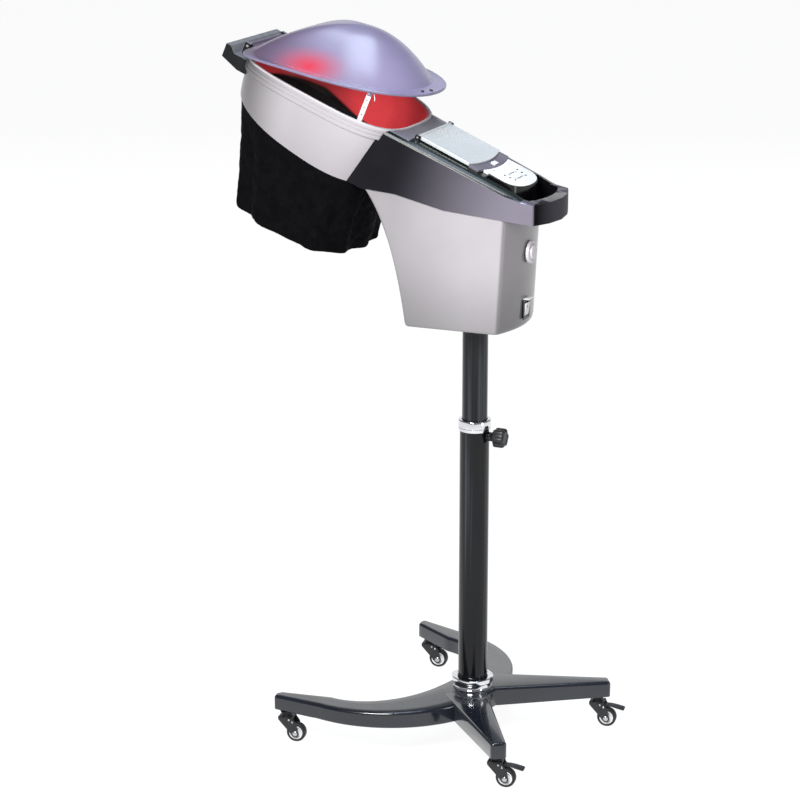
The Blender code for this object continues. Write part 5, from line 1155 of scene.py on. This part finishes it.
def build_caster(name):
    """Tyre, wheel, fork, race and axle bolt."""
    place = caster_place(name)
    centre = Matrix.Translation((CASTER_TRAIL, 0, WHEEL_RADIUS))
    axle = place @ centre @ TURN_TO_Y
    half_tyre = (
        (0.0138, -0.0074), (0.0150, -0.0080), (0.0176, -0.0079),
        (0.0188, -0.0070), (0.0194, -0.0052), (0.0195, -0.0030),
    )
    tyre = lathe(both_ways(half_tyre), axle, 64, True)
    put(name + "_tread", tyre, name + "_wheel", tread_rubber, [name + "_tyre"])
    half_core = (
        (0.0034, -0.0085), (0.0062, -0.0085), (0.0066, -0.0080), (0.0068, -0.0052),
        (0.0076, -0.0046), (0.0104, -0.0046), (0.0112, -0.0052), (0.0116, -0.0076),
        (0.0122, -0.0081), (0.0138, -0.0079), (0.0141, -0.0072),
    )
    core = lathe(both_ways(half_core), axle, 64, True)
    wheel = name + "_wheel"
    put(wheel + "_centre", core, wheel, wheel_nylon, [wheel + "_core"])
    inside, outside = 0.0115, 0.0135
    crown = block(-CROWN_HALF, CROWN_HALF, -outside, outside, 0.0500, CROWN_TOP, 0.0012, 3)
    seat = lathe(((0, 0.0530), (0.0110, 0.0530), (0.0104, 0.0548), (0, 0.0548)), steps=40)
    kingpin = lathe(((0, 0.0546), (0.0044, 0.0546), (0.0044, 0.0622), (0, 0.0622)), steps=24)
    cheeks = [fork_side(-outside, -inside), fork_side(inside, outside)]
    fork = placed(joined([*cheeks, crown, seat, kingpin]), place)
    node = name + "_caster_fork"
    put(name + "_fork_pressing", fork, name + "_fork", fork_coat, [node])
    race = lathe(
        ((0.0046, 0.0552), (0.0098, 0.0552), (0.0105, 0.0560), (0.0105, 0.0600), (0.0100, 0.0611),
         (0.0132, 0.0613), (0.0135, 0.0618), (0.0135, 0.0634), (0.0132, 0.0637), (0.0046, 0.0637)),
        place, 56, True,
    )
    put(name + "_swivel_race", race, "base", black_zinc, [name + "_caster_race"])
    bolts = []
    for side in (-1, 1):
        turn = Matrix.Rotation(math.radians(90) * side, 4, "X")
        bolts.append(lathe(
            ((0.0, 0.0155), (0.0024, 0.0154), (0.0040, 0.0150), (0.0049, 0.0143),
             (0.0050, 0.0137), (0.0, 0.0137)), centre @ turn, 32,
        ))
        for x, z in ((0.0075, 0.0475), (0.0145, 0.0432)):
            bolts.append(lathe(
                ((0.0, 0.0147), (0.0012, 0.0145), (0.0019, 0.0140), (0.0021, 0.0134), (0.0, 0.0134)),
                Matrix.Translation((x, 0, z)) @ turn, 20,
            ))
    bolts.append(lathe(both_ways(((0.0, -0.0137), (0.0030, -0.0137))), centre @ TURN_TO_Y, 24))
    steel = placed(joined(bolts), place)
    put(name + "_axle_bolt", steel, name + "_fork", zinc_steel, [name + "_axle"])


def build_pedal(name):
    """A ribbed foot pedal that bends down to its tip."""
    height, thick = 0.0458, 0.0025
    tail, neck, toe, reach, half = -0.010, 0.030, 0.040, 0.056, 0.0100
    near_side = [
        (tail, -half + 0.001), (neck, -half + 0.0015), (toe, -half), (reach - 0.002, -half),
        (reach, -half + 0.002),
    ]
    plan = near_side + [(x, -y) for x, y in reversed(near_side)]
    shapes = [plate(plan, -thick / 2, thick / 2, 0.0006, 2)]
    for k in range(5):
        x = toe + 0.0032 * k
        shapes.append(block(x, x + 0.0014, -half + 0.0022, half - 0.0022, 0.0008, 0.0021, 0.0004))
    pedal = joined(shapes)
    bend, dip = 0.028, 0.006
    for vert in pedal.verts:
        vert.co.z -= dip * max((vert.co.x - bend) / bend, 0)
    place = caster_place(name) @ Matrix.Translation((0, 0, height))
    node = name + "_brake_pedal"
    pedal = placed(pedal, place)
    put(name + "_foot_pedal", pedal, name + "_pedal", pedal_nylon, [node])


# The rear fittings and the deck


def build_rear_fittings():
    """Filler cap, switch and its mark, flap and cord gland."""
    low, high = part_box("rear_cap")
    x1 = high.x
    about = Matrix.Translation((0, MAST_Y, JOINTS["cap_turn"]["pos_m"][2])) @ TURN_TO_X
    cap = lathe(
        ((0.0, low.x), (0.010, low.x), (0.010, x1 - 0.0104), (0.0214, x1 - 0.0100),
         (0.0220, x1 - 0.0094), (0.0220, x1 - 0.0056), (0.0213, x1 - 0.0044),
         (0.0200, x1 - 0.0040), (0.0176, x1 - 0.0040),
         (0.0170, x1 - 0.0050), (0.0162, x1 - 0.0050), (0.0156, x1 - 0.0040), (0.0142, x1 - 0.0040),
         (0.0140, x1 - 0.0012), (0.0134, x1 - 0.0002), (0.0120, x1), (0.0, x1)),
        about, 80,
    )
    put("filler_cap", cap, "rear_cap", cap_grey, ["rear_cap"])
    dress_copy("switch_frame", "switch_surround", "head", gloss_black, 0.0006)
    dress_copy("power_rocker", "rocker_key", "power_rocker", white_abs, 0.0005)
    rocker = BVHTree.FromBMesh(cad_copy("power_rocker"))
    z = JOINTS["rocker_tilt"]["pos_m"][2]
    behind, forward = 0.4, Vector((-1, 0, 0))
    sunk, ink = Vector((0.0003, 0, 0)), Vector((0.0006, 0, 0))
    mark = bmesh.new()
    corners = []
    for y, height in ((-0.0050, 0.0028), (-0.0008, 0.0028), (-0.0008, 0.0072), (-0.0050, 0.0072)):
        spot = rocker.ray_cast(Vector((behind, MAST_Y + y, z + height)), forward)[0]
        corners.append(mark.verts.new(spot - sunk))
    raised = bmesh.ops.extrude_face_region(mark, geom=[mark.faces.new(corners)])["geom"]
    tips = [item for item in raised if isinstance(item, bmesh.types.BMVert)]
    bmesh.ops.translate(mark, verts=tips, vec=ink)
    put("rocker_mark", mark, "power_rocker", red_ink)
    _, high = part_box("switch_frame")
    flap_half = 0.0125
    flap = block(
        high.x - 0.0060, high.x + 0.0100, MAST_Y - flap_half, MAST_Y + flap_half,
        high.z + 0.0004, high.z + 0.0020, 0.0005,
    )
    put("switch_flap", flap, "head", white_abs)
    gland = cad_copy("cord_gland")
    put("cord_outlet_gland", gland, "head", charcoal, ["cord_gland"])


def head_range(name):
    """A node's extent in the tilted plane: lowest and highest u, y and w."""
    rows = []
    for vert in frame["nodes"][name].data.vertices:
        x, z = vert.co.x - HOOD_X, vert.co.z - HOOD_Z
        u = x * math.cos(HEAD_TILT) - z * math.sin(HEAD_TILT)
        w = x * math.sin(HEAD_TILT) + z * math.cos(HEAD_TILT)
        rows.append((u, vert.co.y - MAST_Y, w))
    return [(min(column), max(column)) for column in zip(*rows)]


def flat_marks(marks, top):
    """Thin printed bars on the tilted plane at a height, each by its middle and half sizes."""
    below, above = 0.00005, 0.00012
    shapes = []
    for u, y, half_u, half_y in marks:
        bar = block(u - half_u, u + half_u, y - half_y, y + half_y, top - below, top + above, 0)
        for vert in bar.verts:
            vert.co = in_head(vert.co.x, vert.co.y, vert.co.z)
        shapes.append(bar)
    return joined(shapes)


def panel_marks():
    """Plain dashes: a frame round the display, three keys on either side and two marks at the arch."""
    (u0, u1), _, (_, top) = head_range("control_panel")
    middle = mix(u0, u1, 0.46)
    thin, key_half = 0.0009, 0.0015
    keys = ((-0.0110, 0.031, 0.0030), (0.0, 0.029, 0.0036), (0.0105, 0.026, 0.0030))
    bars = []
    for side in (-1, 1):
        bars.append((middle + side * 0.0090, 0.0, thin, 0.012))
        bars += [(middle + side * 0.0072, end * 0.0170, 0.0024, thin) for end in (-1, 1)]
        bars += [(middle + u, side * reach, key_half, size) for u, reach, size in keys]
    bars += [(0.2645, side * 0.0365, 0.0005, 0.0035) for side in (-1, 1)]
    return flat_marks(bars, top)


def build_overlay():
    """The white overlay runs from the latch band's arch to the pod's round end."""
    (_, u1), (y0, y1), (w0, w1) = head_range("control_panel")
    arch_u, arch_depth, arch_half, arch_steps = 0.2604, 0.012, 0.074, 16
    straight, end_power, end_steps = 0.298, 2 / 2.3, 24
    plan = []
    for k in range(arch_steps + 1):
        y = mix(y1 - 0.0015, y0 + 0.0015, k / arch_steps)
        plan.append((arch_u - arch_depth * (y / arch_half) ** 2, y))
    for k in range(end_steps + 1):
        angle = math.pi * (k / end_steps - 0.5)
        across = signed_power(math.sin(angle), end_power)
        along = signed_power(math.cos(angle), end_power)
        plan.append((straight + (u1 - straight) * along, y1 * across))
    # A narrower backing under the straight part of the film.
    base = [(u if u > 0.262 else u + 0.0006, y * 0.985) for u, y in plan if u < 0.3]
    film = joined([plate(plan, w0, w1, 0.0003, 2), plate(base, 0.0005, w0 + 0.0002, 0)])
    for vert in film.verts:
        vert.co = in_head(*vert.co)
    return film


def build_stay_hook():
    """A bent wire clip that hangs beside the stay's top end."""
    low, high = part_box("visor_stay")
    start = Vector((high.x - 0.0035, low.y + 0.0041, high.z - 0.0060))
    path = (
        (0.0, 0.0), (0.0030, 0.0012), (0.0062, 0.0008),
        (0.0080, -0.0020), (0.0084, -0.0070), (0.0080, -0.0130),
    )
    radius, steps = 0.0008, 10
    loops = []
    for k, (x, z) in enumerate(path):
        x0, z0 = path[max(k - 1, 0)]
        x1, z1 = path[min(k + 1, len(path) - 1)]
        ahead = Vector((x1 - x0, 0, z1 - z0)).normalized()
        aside = Vector((-ahead.z, 0, ahead.x))
        ring = []
        for turn in range(steps):
            angle = 2 * math.pi * turn / steps
            round_wire = aside * radius * math.cos(angle) + Vector((0, radius * math.sin(angle), 0))
            ring.append(start + Vector((x, 0, z)) + round_wire)
        loops.append(ring)
    put("stay_clip", skin(loops, True, True, True), "visor_stay", white_abs)


def build_deck():
    """The black housing and what sits on it."""
    housing = cad_copy("upper_housing")
    top = [f for f in housing.faces if f.normal.dot(UPWARD) > 0.9]
    split = {v for f in top for v in f.verts} | {e for f in top for e in f.edges} | set(top)
    bmesh.ops.bisect_plane(
        housing, geom=list(split), plane_co=in_head(DECK_FRONT_END, 0, 0), plane_no=REARWARD, dist=1e-6
    )

    rail_front, rail_rear = 0.02, 0.345
    trough_front, trough_rear, trough_half, trough_floor = 0.045, 0.16, 0.080, 1.078
    trough_middle = Vector((0.10, 0, 1.13))

    def along(face):
        return (face.calc_center_median() - HEAD_ORIGIN).dot(REARWARD)

    def is_front_deck(face):
        return face.normal.dot(UPWARD) > 0.85 and along(face) < DECK_FRONT_END

    def is_rail(face):
        return face.normal.dot(UPWARD) > 0.30 and rail_front < along(face) < rail_rear

    def is_trough(face):
        spot = face.calc_center_median() - on_mast(0, 0, 0)
        within = abs(spot.y) < trough_half and trough_front < spot.x < trough_rear
        within = within and spot.z > trough_floor
        inwards = face.normal.dot(trough_middle - spot) > 0
        return within and inwards and face.normal.dot(UPWARD) < 0.98

    # The last coat, a painted edge highlight, covers no face of its own: the bevel's edges take it.
    coats = [
        (gloss_black, is_trough), (rail_green, is_rail), (deck_grey, is_front_deck),
        (edge_painted_highlight, lambda face: False),
    ]
    cover = put("deck_housing", housing, "head", pearl_black, ["upper_housing"], 30, coats)
    soften(cover, 0.0010, 3).modifiers["moulded_edges"].material = len(coats)
    dress_copy("tank_lid", "tank_lid_plate", "tank_lid", lid_lacquer, 0.0006)
    dress_copy("latch_band", "latch_band_strip", "head", grey_abs, 0.0006)
    dress_copy("lid_latch", "latch_tab", "lid_latch", white_abs, 0.0005)
    dress_copy("control_pod", "control_pod_shell", "head", gloss_black, 0.0008, 30)
    put("panel_overlay", build_overlay(), "head", overlay_film, ["control_panel"])

    def is_top(face):
        return face.normal.dot(UPWARD) > 0.45

    # Painted light on the bracket's top faces.
    top_light_faces = [(bracket_top_painted_light, is_top)]
    dress_copy(
        "front_bracket", "front_bracket_grip", "head", bracket_nylon,
        0.0012, 30, top_light_faces, 3,
    )
    dress_copy("visor_stay", "visor_stay_strip", "visor_stay", white_abs, 0.0003)
    build_stay_hook()
    put("panel_print", panel_marks(), "head", print_ink)


# Pieces that stay as the CAD made them take a finish of their own.
KEPT = {
    "mast_socket": charcoal,
    "steam_boiler": drawn_steel,
    "band_heater": drawn_steel,
    "control_board": board_mask,
    "steam_duct": charcoal,
    "light_bar": white_abs,
    "stay_stud": zinc_steel,
    "visor_hinge_pin": zinc_steel,
    "lid_hinge_pin": zinc_steel,
    "guide_bush": white_abs,
    "hub_bolt": zinc_steel,
    "water_tank": tank_pp,
}


def dress_kept():
    """Gives the CAD shapes that stay their finishes."""
    for name, finish in KEPT.items():
        mesh = frame["nodes"][name].data
        mesh.materials.clear()
        mesh.materials.append(finish)


# Camera, light and floor


def set_camera():
    """The photograph's view."""
    camera = bpy.data.cameras.new("photo_camera")
    camera.lens = 119.9
    camera.sensor_width = 36
    holder = bpy.data.objects.new("photo_camera", camera)
    bpy.context.scene.collection.objects.link(holder)
    heading, pitch = math.radians(24.692), math.radians(16.131)
    level = math.cos(pitch)
    look = Vector((-math.sin(heading) * level, math.cos(heading) * level, -math.sin(pitch)))
    holder.location = on_mast(1.955, -4.602, 2.146)
    holder.rotation_euler = look.to_track_quat("-Z", "Y").to_euler()
    bpy.context.scene.camera = holder


def add_softbox(name, place, aim, size, power, colour="#FFFFFF"):
    lamp = bpy.data.lights.new(name, "AREA")
    lamp.shape = "RECTANGLE"
    lamp.size, lamp.size_y = size
    lamp.energy = power
    lamp.color = linear(colour)[:3]
    holder = bpy.data.objects.new(name, lamp)
    bpy.context.scene.collection.objects.link(holder)
    holder.location = place
    holder.rotation_euler = (Vector(aim) - Vector(place)).to_track_quat("-Z", "Y").to_euler()


def set_stage():
    """A white studio with a bright floor."""
    scene = bpy.context.scene
    scene.view_settings.view_transform = "Standard"
    world = bpy.data.worlds.new("soft_studio")
    world.use_nodes = True
    scene.world = world
    back = world.node_tree.nodes["Background"]
    back.inputs["Color"].default_value = linear("#EEF2F8")
    back.inputs["Strength"].default_value = 0.22
    shape = bmesh.new()
    bmesh.ops.create_grid(shape, x_segments=2, y_segments=2, size=40)
    mesh = bpy.data.meshes.new("studio_floor")
    shape.to_mesh(mesh)
    shape.free()
    floor = bpy.data.objects.new("studio_floor", mesh)
    scene.collection.objects.link(floor)
    floor.location.z = -0.0002
    mesh.materials.append(
        surface(
            "white_studio_floor", ("#6A6A6A", "#6E6E6E"), 4000, (0.75, 0.9), 40, 0.01,
            Specular_IOR_Level=0.0, Emission_Color=linear("#FFFFFF"), Emission_Strength=0.93,
        )
    )
    add_softbox("key_front", (0.20, -2.10, 2.30), (-0.05, 0, 1.10), (1.0, 1.0), 100)
    add_softbox("overhead", (0.1, 0.1, 3.4), (-0.1, 0, 1.2), (1.9, 1.1), 55, "#DCEBFF")
    add_softbox("right_strip", (2.9, -0.6, 1.4), (0.1, 0, 0.8), (0.5, 2.2), 16)
    add_softbox("back_glow", (-2.4, 5.6, 2.3), (0, 0, 0.9), (8.0, 2.4), 50)


set_camera()
build_crescent()
build_rear_legs()
build_mast()
build_knob()
for caster in ("front_left", "front_right", "rear_left", "rear_right"):
    build_caster(caster)
for caster in ("rear_left", "rear_right"):
    build_pedal(caster)
build_body()
build_hood()
build_visor()
build_deck()
build_rear_fittings()
skirt, skirt_area = build_skirt()
dress_kept()
set_stage()
